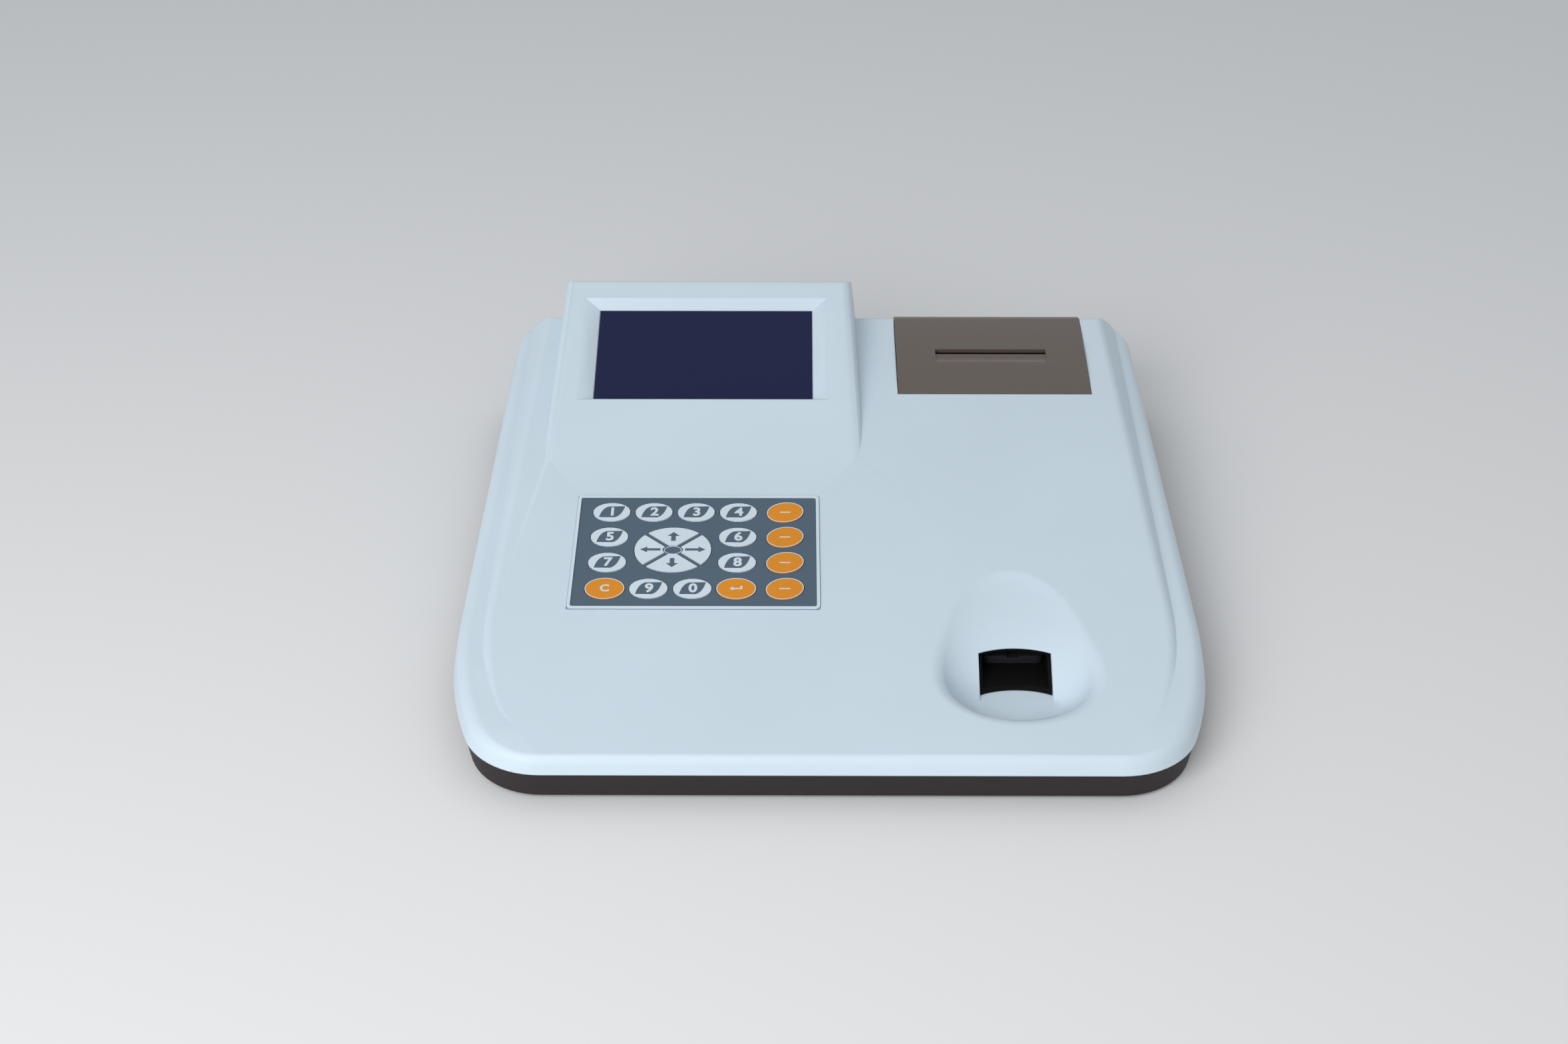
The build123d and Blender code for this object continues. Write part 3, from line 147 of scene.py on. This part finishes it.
# ---------------------------------------------------------------------- base
# The dark lower half of the case: injection-moulded ABS with a coarser matt texture.
# It stands in from the upper case by a shadow step, and carries boards and feet.
# ABS, moulded: brown-black, matt, with a 0.5 mm grain.
base_abs, *_ = moulded("abs_matt_moulded_dark_brown", "2E282A", 0.6, 0.5, 0.02, shine=0.3)
dress(base_abs, "base_tray")

# ------------------------------------------------------- rubber feet and screws
# Four round feet of black rubber pressed into pockets of the base, and the four
# zinc-plated cross-head screws that clamp base and upper case together.
# Rubber, compression moulded: matt black.
rubber, *_ = moulded("rubber_matt_moulded_black", "17171A", 0.8, 0.3, 0.02)
dress(rubber, "rubber_feet")


def metal(name, colour, rough, lines_mm, direction):
    """Metal with fine lines along a direction, as rolling, drawing or turning leaves them."""
    material, tree, place, shader = new_material(name)
    stretch = [1 / (lines_mm * MM)] * 3
    stretch["xyz".index(direction)] *= 0.02
    long = add(tree, "ShaderNodeVectorMath", {0: place, 1: stretch}, operation="MULTIPLY")
    lines = add(tree, "ShaderNodeTexNoise", {"Vector": long.outputs[0], "Scale": 1.0, "Detail": 2.0})
    dull = between(tree, lines.outputs["Fac"], rough - 0.06, rough + 0.06)
    tree.links.new(dull, shader.inputs["Roughness"])
    bump = add(tree, "ShaderNodeBump", {"Height": lines.outputs["Fac"], "Distance": 0.003 * MM})
    tree.links.new(bump.outputs[0], shader.inputs["Normal"])
    shader.inputs["Base Color"].default_value = linear(colour)
    shader.inputs["Metallic"].default_value = 1.0
    return material


# Steel, zinc plated: fine lines along the shank.
zinc = metal("steel_zinc_plated_screws", "B9BBBF", 0.34, 0.15, "z")
dress(zinc, "case_screws")

# ------------------------------------------------------------------ display
# A 240 by 128 dot module behind a smoked acrylic window, in the bevelled well of
# the pod. The display is off, so the window is a dark blue-black sheet.
# Acrylic sheet, smoked and polished. Steel sheet, rolled, for the module's frame.
lens_acrylic, tree, place, shader = new_material("acrylic_polished_smoked_blue")
shader.inputs["Base Color"].default_value = linear("1C2244")
shader.inputs["Specular IOR Level"].default_value = 0.15
tree.links.new(between(tree, noise(tree, place, 25.0).outputs["Fac"], 0.1, 0.16), shader.inputs["Roughness"])
dress(lens_acrylic, "display_lens")
dress(metal("steel_rolled_display_frame", "8C8F94", 0.38, 0.2, "x"), "display_module")

# -------------------------------------------------------------------- boards
# Glass-epoxy circuit boards with green solder mask: the main board on the floor of
# the base, the power board, and the boards behind the display and the keypad.
# Glass epoxy under a green solder mask. Black epoxy, moulded, for the components.
mask_green, *_ = moulded("epoxy_glass_solder_mask_green", "1F5B36", 0.35, 0.8, 0.01)
dress(mask_green, "display_board", "keypad_board", "main_board", "power_board")
dress(moulded("epoxy_moulded_component_black", "1B1B1E", 0.5, 0.2, 0.008)[0], "board_parts")

# ------------------------------------------------------------- power supply
# The mains transformer with its varnished laminations, and two smoothing
# capacitors in heat-shrunk sleeves, all soldered to the power board.
# Iron sheets of 0.5 mm, stacked and varnished. PVC sleeve, heat-shrunk.
LAMINATION = 0.5
iron, tree, place, shader = new_material("iron_laminated_varnished")
sheets = add(tree, "ShaderNodeTexWave", {"Vector": place, "Scale": math.tau / (20 * LAMINATION * MM)},
             wave_type="BANDS", bands_direction="Z")
leaf_bump = add(tree, "ShaderNodeBump", {"Height": sheets.outputs["Fac"], "Distance": 0.05 * MM})
tree.links.new(leaf_bump.outputs[0], shader.inputs["Normal"])
shader.inputs["Base Color"].default_value = linear("4A4540")
shader.inputs["Metallic"].default_value = 0.6
shader.inputs["Roughness"].default_value = 0.45
dress(iron, "transformer")
dress(moulded("pvc_heat_shrunk_sleeve_blue", "20263C", 0.3, 3.0, 0.02)[0], "smoothing_capacitors")

# --------------------------------------------------------------- keypad panel
# The printed polyester panel of the keypad, glued into a recess of the case. Its
# matt lacquer has a fine orange-peel texture, and it has a narrow unprinted margin.
PANEL_GREY = "536575"
PRINT_PALE = "D2DFE9"
KEYPAD_SLOPE = math.radians(6.9)       # the top's rise to the back
NORMAL = Vector((0, -math.sin(KEYPAD_SLOPE), math.cos(KEYPAD_SLOPE)))
INK = 0.04 * MM                        # thickness of a printed layer
# Polyester film with a matt lacquer, and matt screen printing on it.
panel_film, *_ = moulded("polyester_film_matt_lacquer_grey", PANEL_GREY, 0.5, 0.25, 0.006,
                         edge_mm=0.15, shine=0.2)
pale_ink, *_ = moulded("screen_print_matt_pale", PRINT_PALE, 0.5, 0.25, 0.006, edge_mm=0.15)
dress(panel_film, "keypad_panel")


def face_of(name):
    """A matrix whose origin is the middle of a piece's upper face on the keypad's slope."""
    low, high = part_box(name)
    middle = (low + high) / 2
    top = max(NORMAL.dot(vertex.co) for vertex in nodes[name].data.vertices)
    origin = middle + NORMAL * (top - NORMAL.dot(middle))
    return Matrix.Translation(origin) @ Matrix.Rotation(KEYPAD_SLOPE, 4, "X")


def piece(name, shape, matrix, material, body):
    """Places a mesh in the row frame, gives it a material, and lets it ride on a body."""
    mesh = bpy.data.meshes.new(name)
    bmesh.ops.recalc_face_normals(shape, faces=shape.faces)
    shape.to_mesh(mesh)
    shape.free()
    mesh.transform(matrix)
    mesh.materials.append(material)
    thing = bpy.data.objects.new(name, mesh)
    bpy.context.scene.collection.objects.link(thing)
    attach(thing, body)
    return thing


def prism(outline, thickness, sink=0.02 * MM):
    """A closed plate: an outline in mm, from just under the surface up to a thickness."""
    shape = bmesh.new()
    face = shape.faces.new([shape.verts.new((x * MM, y * MM, -sink)) for x, y in outline])
    raised = bmesh.ops.extrude_face_region(shape, geom=[face])["geom"]
    moved = [item for item in raised if isinstance(item, bmesh.types.BMVert)]
    bmesh.ops.translate(shape, verts=moved, vec=(0, 0, thickness + sink))
    return shape


def frame_of(outer, inner, thickness):
    """A closed flat frame between two outlines that have the same number of points."""
    shape = bmesh.new()
    rings = [[shape.verts.new((x * MM, y * MM, z)) for x, y in line]
             for line, z in ((outer, 0), (outer, thickness), (inner, thickness), (inner, 0))]
    count = len(outer)
    for ring, following in zip(rings, rings[1:] + rings[:1]):
        for at in range(count):
            shape.faces.new((ring[at], ring[(at + 1) % count], following[(at + 1) % count], following[at]))
    return shape


def rectangle(wide, high, radius, steps=5):
    """A rectangle with rounded corners, as a list of points."""
    points = []
    for corner, (sx, sy) in enumerate(((1, 1), (-1, 1), (-1, -1), (1, -1))):
        for step in range(steps + 1):
            turn = math.radians(90 * corner + 90 * step / steps)
            points.append((sx * (wide / 2 - radius) + radius * math.cos(turn),
                           sy * (high / 2 - radius) + radius * math.sin(turn)))
    return points


panel_low, panel_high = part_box("keypad_panel")
panel_wide = (panel_high.x - panel_low.x) / MM
panel_long = (panel_high.y - panel_low.y) / MM / math.cos(KEYPAD_SLOPE)
MARGIN = 1.5             # width of the unprinted margin
panel_edge = frame_of(rectangle(panel_wide, panel_long, 2.2),
                      rectangle(panel_wide - 2 * MARGIN, panel_long - 2 * MARGIN, 1.2), 0.5 * MM)
piece("keypad_margin", panel_edge, face_of("keypad_panel"), pale_ink, "chassis")

# ----------------------------------------------------------------- digit keys
# Ten oval keys, punched from the same film over metal domes: pale, with a printed
# leaf-shaped field in the panel's grey and the digit left pale in it.
DIGIT_SIZE = 8.2
DIGIT_WEIGHT = 0.28      # how much the strokes are thickened
LEAF = ((-6.1, -3.9), (-4.9, 3.0), (-1.6, 4.1), (6.3, 4.3), (4.9, -2.9), (1.6, -4.0))
grey_ink, *_ = moulded("screen_print_matt_grey", PANEL_GREY, 0.5, 0.25, 0.006, edge_mm=0.1, shine=0.2)
digit_names = [f"key_{digit}" for digit in range(10)]
dress(pale_ink, *digit_names)


def bend_through(start, control, end, steps=8):
    """Points of a quadratic curve, without its last one."""
    points = []
    for step in range(steps):
        t = step / steps
        points.append(tuple((1 - t) ** 2 * a + 2 * t * (1 - t) * b + t * t * c
                            for a, b, c in zip(start, control, end)))
    return points


def lettering(text, size, thickness, weight):
    """A closed mesh of some text, centred, with its size in mm."""
    curve = bpy.data.curves.new("lettering", "FONT")
    curve.body = text
    curve.size = size * MM
    curve.align_x, curve.align_y = "CENTER", "CENTER"
    curve.offset = weight * MM
    curve.extrude = thickness / 2
    curve.resolution_u = 4
    holder = bpy.data.objects.new("lettering", curve)
    mesh = bpy.data.meshes.new_from_object(holder)
    bpy.data.objects.remove(holder)
    shape = bmesh.new()
    shape.from_mesh(mesh)
    bmesh.ops.remove_doubles(shape, verts=shape.verts, dist=1e-7)
    bmesh.ops.translate(shape, verts=shape.verts, vec=(0, 0, thickness / 2))
    return shape


leaf_line = bend_through(*LEAF[:3]) + [LEAF[2]] + bend_through(*LEAF[3:]) + [LEAF[5]]
for digit, name in enumerate(digit_names):
    spot = face_of(name)
    piece(f"{name}_field", prism(leaf_line, INK), spot, grey_ink, f"{name}_pad")
    piece(f"{name}_digit", lettering(str(digit), DIGIT_SIZE, 2 * INK, DIGIT_WEIGHT),
          spot @ Matrix.Translation((0.3 * MM, 0, 0)), pale_ink, f"{name}_pad")

# ----------------------------------------------------------------- arrow keys
# The four arrow keys: quarters of one oval ring with stemmed arrows printed in grey,
# round a fixed hub that carries a thin pale ring.
ARROW = ((-1.1, -3.2), (1.1, -3.2), (1.1, 0.4), (2.9, 0.4), (0, 3.2), (-2.9, 0.4), (-1.1, 0.4))
SIDE_ARROW = ((-0.8, -5.2), (0.8, -5.2), (0.8, 1.2), (2.0, 1.2), (0, 4.6), (-2.0, 1.2), (-0.8, 1.2))
arrow_turns = {"key_up": 0, "key_left": 90, "key_down": 180, "key_right": 270}
dress(pale_ink, *arrow_turns)
left_low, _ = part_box("key_left")
_, right_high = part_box("key_right")
ring_x = (left_low.x + right_high.x) / 2
side_spot = face_of("key_left")
for name, turn in arrow_turns.items():
    spot = face_of(name)
    shape = prism(ARROW if turn % 180 == 0 else SIDE_ARROW, INK)
    piece(f"{name}_arrow", shape, spot @ Matrix.Rotation(math.radians(turn), 4, "Z"), grey_ink,
          f"{name}_pad")


def ellipse(half_x, half_y, count=48):
    return [(half_x * math.cos(math.tau * at / count), half_y * math.sin(math.tau * at / count))
            for at in range(count)]


KEY_STAND = 0.4          # how far the keys stand out of the panel
hub_shift = Vector((ring_x - side_spot.translation.x, 0, -KEY_STAND * MM))
piece("keypad_hub_ring", frame_of(ellipse(4.3, 2.9), ellipse(3.9, 2.55), INK),
      Matrix.Translation(hub_shift) @ side_spot, pale_ink, "chassis")

# --------------------------------------------------------------- command keys
# Orange keys: clear and enter in the lowest row, and a last column of four that are
# tilted. Each has a thin pale rim and a small pale mark in place of its wording.
# Matt screen printing in orange.
orange_ink, *_ = moulded("screen_print_matt_orange", "DE8C12", 0.5, 0.25, 0.006, edge_mm=0.15)
commands = {"key_clear": (9.4, 7.3, 0), "key_enter": (9.4, 7.3, 0)}
commands.update({f"key_command_{row}": (9.1, 7.3, 15) for row in range(1, 5)})
dress(orange_ink, *commands)
BAR = ((-2.6, -0.35), (2.6, -0.35), (2.6, 0.35), (-2.6, 0.35))
RIM = 0.45               # width of the pale rim
RETURN_MARK = ((-3.2, 0), (-1.2, 1.3), (-1.2, 0.4), (2.0, 0.4), (2.0, 1.8), (2.9, 1.8), (2.9, -0.4),
               (-1.2, -0.4), (-1.2, -1.3))
for name, (half_x, half_y, tilt) in commands.items():
    spot = face_of(name)
    turned = spot @ Matrix.Rotation(math.radians(tilt), 4, "Z")
    rim = frame_of(ellipse(half_x, half_y), ellipse(half_x - RIM, half_y - RIM), INK)
    piece(f"{name}_rim", rim, turned, pale_ink, f"{name}_pad")
    if name == "key_clear":
        mark = lettering("C", 6.5, INK, 0.2)
    elif name == "key_enter":
        mark = prism(RETURN_MARK, INK)
    else:
        mark = prism(BAR, INK)
    piece(f"{name}_mark", mark, spot, pale_ink, f"{name}_pad")

# ------------------------------------------------------------------ strip tray
# The tray that carries a test strip out into the finger dish and back under the
# reader: black ABS that slides in a moulded guide, driven by its rack.
# ABS, moulded: matt black for guide and reader, satin charcoal for the tray.
guide_abs, *_ = moulded("abs_matt_moulded_black", "080706", 0.7, 0.4, 0.015, shine=0.12)
tray_abs, *_ = moulded("abs_satin_moulded_charcoal", "222225", 0.42, 0.4, 0.012)
dress(guide_abs, "tray_guide", "optical_head")
dress(tray_abs, "strip_tray")

# ------------------------------------------------------------ gears and motors
# Natural nylon gears, moulded, and the plated steel cans of the two small motors
# that drive the strip tray and the paper feed.
# Nylon, moulded, which lets a little light in. Steel cans, drawn and plated.
nylon, tree, place, shader = moulded("nylon_moulded_natural", "E4E0D0", 0.4, 0.6, 0.01)
shader.inputs["Subsurface Weight"].default_value = 0.15
shader.inputs["Subsurface Radius"].default_value = (1.5 * MM, 1.2 * MM, 0.9 * MM)
dress(nylon, "tray_pinion", "platen_gear")
dress(metal("steel_plated_motor_can", "A2A5AB", 0.3, 0.2, "z"), "tray_motor", "feed_motor")

# -------------------------------------------------------------- printer frame
# The printer's folded steel frame with its shafts and pins, turned and ground from
# bright steel, and the aluminium heat sink of the print head.
# Steel, folded and plated, or ground bright. Aluminium, extruded. Rubber, ground.
# Acetal, moulded in green, for the lever.
dress(metal("steel_folded_plated_frame", "9DA0A5", 0.32, 0.3, "z"), "printer_frame")
dress(metal("steel_ground_bright_shafts", "A9ACB2", 0.22, 0.1, "x"), "cover_pin", "paper_spindle",
      "platen_shaft", "feed_pinion")
dress(metal("aluminium_extruded_head_sink", "B4B7BC", 0.36, 0.2, "x"), "print_head")
dress(moulded("rubber_ground_platen_black", "1A1A1B", 0.72, 0.15, 0.01)[0], "platen_roller")
dress(moulded("acetal_moulded_green_lever", "3B7A55", 0.4, 0.4, 0.01)[0], "release_lever")

# ------------------------------------------------------------ printer cover
# The hinged cover over the paper: a smoked glossy moulding that rolls down over the
# back edge. The paper comes up through the slot and tears off on the hollow lip.
# Polycarbonate, smoked and polished, with a hard coat. ABS, matt, for the tub.
smoked, tree, place, shader = new_material("polycarbonate_polished_smoked_brown")
shader.inputs["Base Color"].default_value = linear("5B5049")
shader.inputs["Coat Weight"].default_value = 0.6
shader.inputs["Coat Roughness"].default_value = 0.06
tree.links.new(between(tree, noise(tree, place, 30.0).outputs["Fac"], 0.2, 0.28), shader.inputs["Roughness"])
edge = add(tree, "ShaderNodeBevel", {"Radius": 0.4 * MM}, samples=4)
tree.links.new(edge.outputs[0], shader.inputs["Normal"])
tree.links.new(edge.outputs[0], shader.inputs["Coat Normal"])
dress(smoked, "printer_cover")
dress(moulded("abs_matt_moulded_black_tub", "1E1C1C", 0.6, 0.4, 0.015)[0], "printer_bay")

# ----------------------------------------------------------------- paper roll
# A roll of 57 mm thermal paper on a card core. The ends show the wound layers as
# fine rings, and the outer face is smooth coated paper.
# Thermal paper, wound, and brown card for the core.
WOUND_RING = 0.35        # spacing of the rings that show at the roll's ends
paper, tree, place, shader = new_material("paper_thermal_wound")
roll_low, roll_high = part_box("paper_roll")
axis = (roll_low + roll_high) / 2
apart = add(tree, "ShaderNodeVectorMath", {0: place, 1: axis}, operation="SUBTRACT")
flat = add(tree, "ShaderNodeVectorMath", {0: apart.outputs[0], 1: (0, 1, 1)}, operation="MULTIPLY")
radius = add(tree, "ShaderNodeVectorMath", {0: flat.outputs[0]}, operation="LENGTH")
turns = add(tree, "ShaderNodeMath", {0: radius.outputs["Value"], 1: math.tau / (WOUND_RING * MM)},
            operation="MULTIPLY")
rings = add(tree, "ShaderNodeMath", {0: turns.outputs[0]}, operation="SINE")
ring_bump = add(tree, "ShaderNodeBump", {"Height": rings.outputs[0], "Distance": 0.02 * MM})
tree.links.new(ring_bump.outputs[0], shader.inputs["Normal"])
shader.inputs["Base Color"].default_value = linear("EEEEEA")
shader.inputs["Roughness"].default_value = 0.6
dress(paper, "paper_roll")
dress(moulded("card_wound_brown", "B99A6B", 0.8, 0.6, 0.03)[0], "paper_core")

# --------------------------------------------------------------- rear fittings
# The power inlet, the rocker switch and the nine-way serial socket in the recessed
# panel of the back wall. The socket's contacts and jack posts are added here.
# Nylon, moulded, matt black. Steel shell, tin plated. Brass contacts, gold plated.
fitting_nylon, *_ = moulded("nylon_matt_moulded_black", "161618", 0.45, 0.3, 0.01)
dress(fitting_nylon, "power_inlet", "power_switch", "power_rocker")
port_steel = metal("steel_tin_plated_shell", "A8ABAF", 0.3, 0.2, "x")
dress(port_steel, "serial_port")


def row_tree():
    """Geometry nodes for a row of round contacts: count, pitch, radius and length in metres."""
    tree = bpy.data.node_groups.new("Row of contacts", "GeometryNodeTree")
    for label, kind in (("Count", "Int"), ("Pitch", "Float"), ("Radius", "Float"), ("Length", "Float"),
                        ("Sides", "Int"), ("Material", "Material")):
        tree.interface.new_socket(label, in_out="INPUT", socket_type="NodeSocket" + kind)
    tree.interface.new_socket("Geometry", in_out="OUTPUT", socket_type="NodeSocketGeometry")
    source = add(tree, "NodeGroupInput")
    step = add(tree, "ShaderNodeCombineXYZ", {0: source.outputs[1]})
    line = add(tree, "GeometryNodeMeshLine", {"Count": source.outputs[0], "Offset": step.outputs[0]})
    post = add(tree, "GeometryNodeMeshCylinder", {"Vertices": source.outputs[4], "Radius": source.outputs[2],
                                                  "Depth": source.outputs[3]})
    copies = add(tree, "GeometryNodeInstanceOnPoints",
                 {"Points": line.outputs[0], "Instance": post.outputs[0]})
    real = add(tree, "GeometryNodeRealizeInstances", {0: copies.outputs[0]})
    final = add(tree, "GeometryNodeSetMaterial", {"Geometry": real.outputs[0], "Material": source.outputs[5]})
    add(tree, "NodeGroupOutput", {0: final.outputs[0]})
    return tree


contact_row = row_tree()
gold = metal("brass_gold_plated_contacts", "D9B25A", 0.25, 0.1, "y")


def row_of(name, values, material, matrix):
    """Runs the row's nodes once with these values and keeps the mesh."""
    holder = bpy.data.objects.new("row", bpy.data.meshes.new("row"))
    bpy.context.scene.collection.objects.link(holder)
    modifier = holder.modifiers.new("row", "NODES")
    modifier.node_group = contact_row
    sockets = contact_row.interface.items_tree
    inputs = {item.name: item.identifier for item in sockets if item.in_out == "INPUT"}
    for label, value in {**values, "Material": material}.items():
        modifier[inputs[label]] = value
    holder.update_tag()
    evaluated = holder.evaluated_get(bpy.context.evaluated_depsgraph_get())
    mesh = bpy.data.meshes.new_from_object(evaluated)
    bpy.data.objects.remove(holder)
    shape = bmesh.new()
    shape.from_mesh(mesh)
    return piece(name, shape, matrix, material, "chassis")


port_low, port_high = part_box("serial_port")
port_x, port_z = (port_low.x + port_high.x) / 2, (port_low.z + port_high.z) / 2
outward = Matrix.Rotation(math.radians(90), 4, "X")
CONTACT_PITCH = 2.77
CONTACT_RISE = 1.42      # each row's height off the socket's middle
POST_PITCH = 25.0
for label, count, rise in (("upper", 5, CONTACT_RISE), ("lower", 4, -CONTACT_RISE)):
    first = port_x - (count - 1) * CONTACT_PITCH / 2 * MM
    start = Vector((first, port_high.y - 0.4 * MM, port_z + rise * MM))
    sizes = {"Count": count, "Pitch": CONTACT_PITCH * MM, "Radius": 0.5 * MM, "Length": 1.4 * MM, "Sides": 16}
    row_of(f"serial_contacts_{label}", sizes, gold, Matrix.Translation(start) @ outward)
start = Vector((port_x - POST_PITCH / 2 * MM, port_high.y - 1.0 * MM, port_z))
sizes = {"Count": 2, "Pitch": POST_PITCH * MM, "Radius": 2.4 * MM, "Length": 1.8 * MM, "Sides": 6}
row_of("serial_jack_posts", sizes, zinc, Matrix.Translation(start) @ outward)

# ------------------------------------------------------- floor, light and camera
# A plain pale floor, one large soft lamp at the front left, even light from the room,
# and the camera that was fitted to the photograph.
# Matt grey floor with painted shade: darker towards the back and the far corners, where less lamp light
# falls.
floor_paint, tree, place, shader = new_material("floor_matt_grey_painted_shade")
# Painted shade: the floor's colour darkens with distance from its front middle.
distance = add(tree, "ShaderNodeVectorMath", {0: place, 1: (0, -0.9, 0)}, operation="DISTANCE")
painted_falloff = add(tree, "ShaderNodeMapRange",
             {"Value": distance.outputs["Value"], "From Min": 0.5, "From Max": 2.2})
shade = add(tree, "ShaderNodeValToRGB", {"Fac": painted_falloff.outputs[0]})
shade.color_ramp.elements[0].color = linear("E9E9E9")
shade.color_ramp.elements[1].color = linear("D8DBDE")
tree.links.new(shade.outputs[0], shader.inputs["Base Color"])
shader.inputs["Roughness"].default_value = 0.9
shader.inputs["Specular IOR Level"].default_value = 0.1
bpy.ops.mesh.primitive_plane_add(size=12)
floor = bpy.context.object
floor.name = "floor"
floor.data.materials.append(floor_paint)


def soft_lamp(name, place, target, size, power, colour):
    lamp = bpy.data.lights.new(name, "AREA")
    lamp.shape, lamp.size, lamp.energy, lamp.color = "SQUARE", size, power, linear(colour)[:3]
    holder = bpy.data.objects.new(name, lamp)
    holder.location = place
    holder.rotation_euler = (Vector(target) - Vector(place)).to_track_quat("-Z", "Y").to_euler()
    bpy.context.scene.collection.objects.link(holder)


soft_lamp("lamp_front_left", (-0.75, -1.35, 1.0), (0, -0.2, 0), 1.2, 20, "FFFFFF")
world = bpy.data.worlds.new("soft grey room")
world.use_nodes = True
world.node_tree.nodes["Background"].inputs[0].default_value = linear("E4E6E8")
world.node_tree.nodes["Background"].inputs[1].default_value = 0.7
bpy.context.scene.world = world
bpy.context.scene.view_settings.view_transform = "Standard"

lens = bpy.data.cameras.new("photo camera")
lens.lens, lens.sensor_width = 49.73, 36.0
camera = bpy.data.objects.new("photo camera", lens)
right = Vector((0.999994, 0.003496, -0.000337))
up = Vector((-0.001676, 0.559180, 0.829044))
back = Vector((0.003086, -0.829039, 0.559183))
standpoint = Matrix.Translation((-0.017876, -0.887446, 0.634330))
camera.matrix_world = standpoint @ Matrix((right, up, back)).transposed().to_4x4()
bpy.context.scene.collection.objects.link(camera)
bpy.context.scene.camera = camera
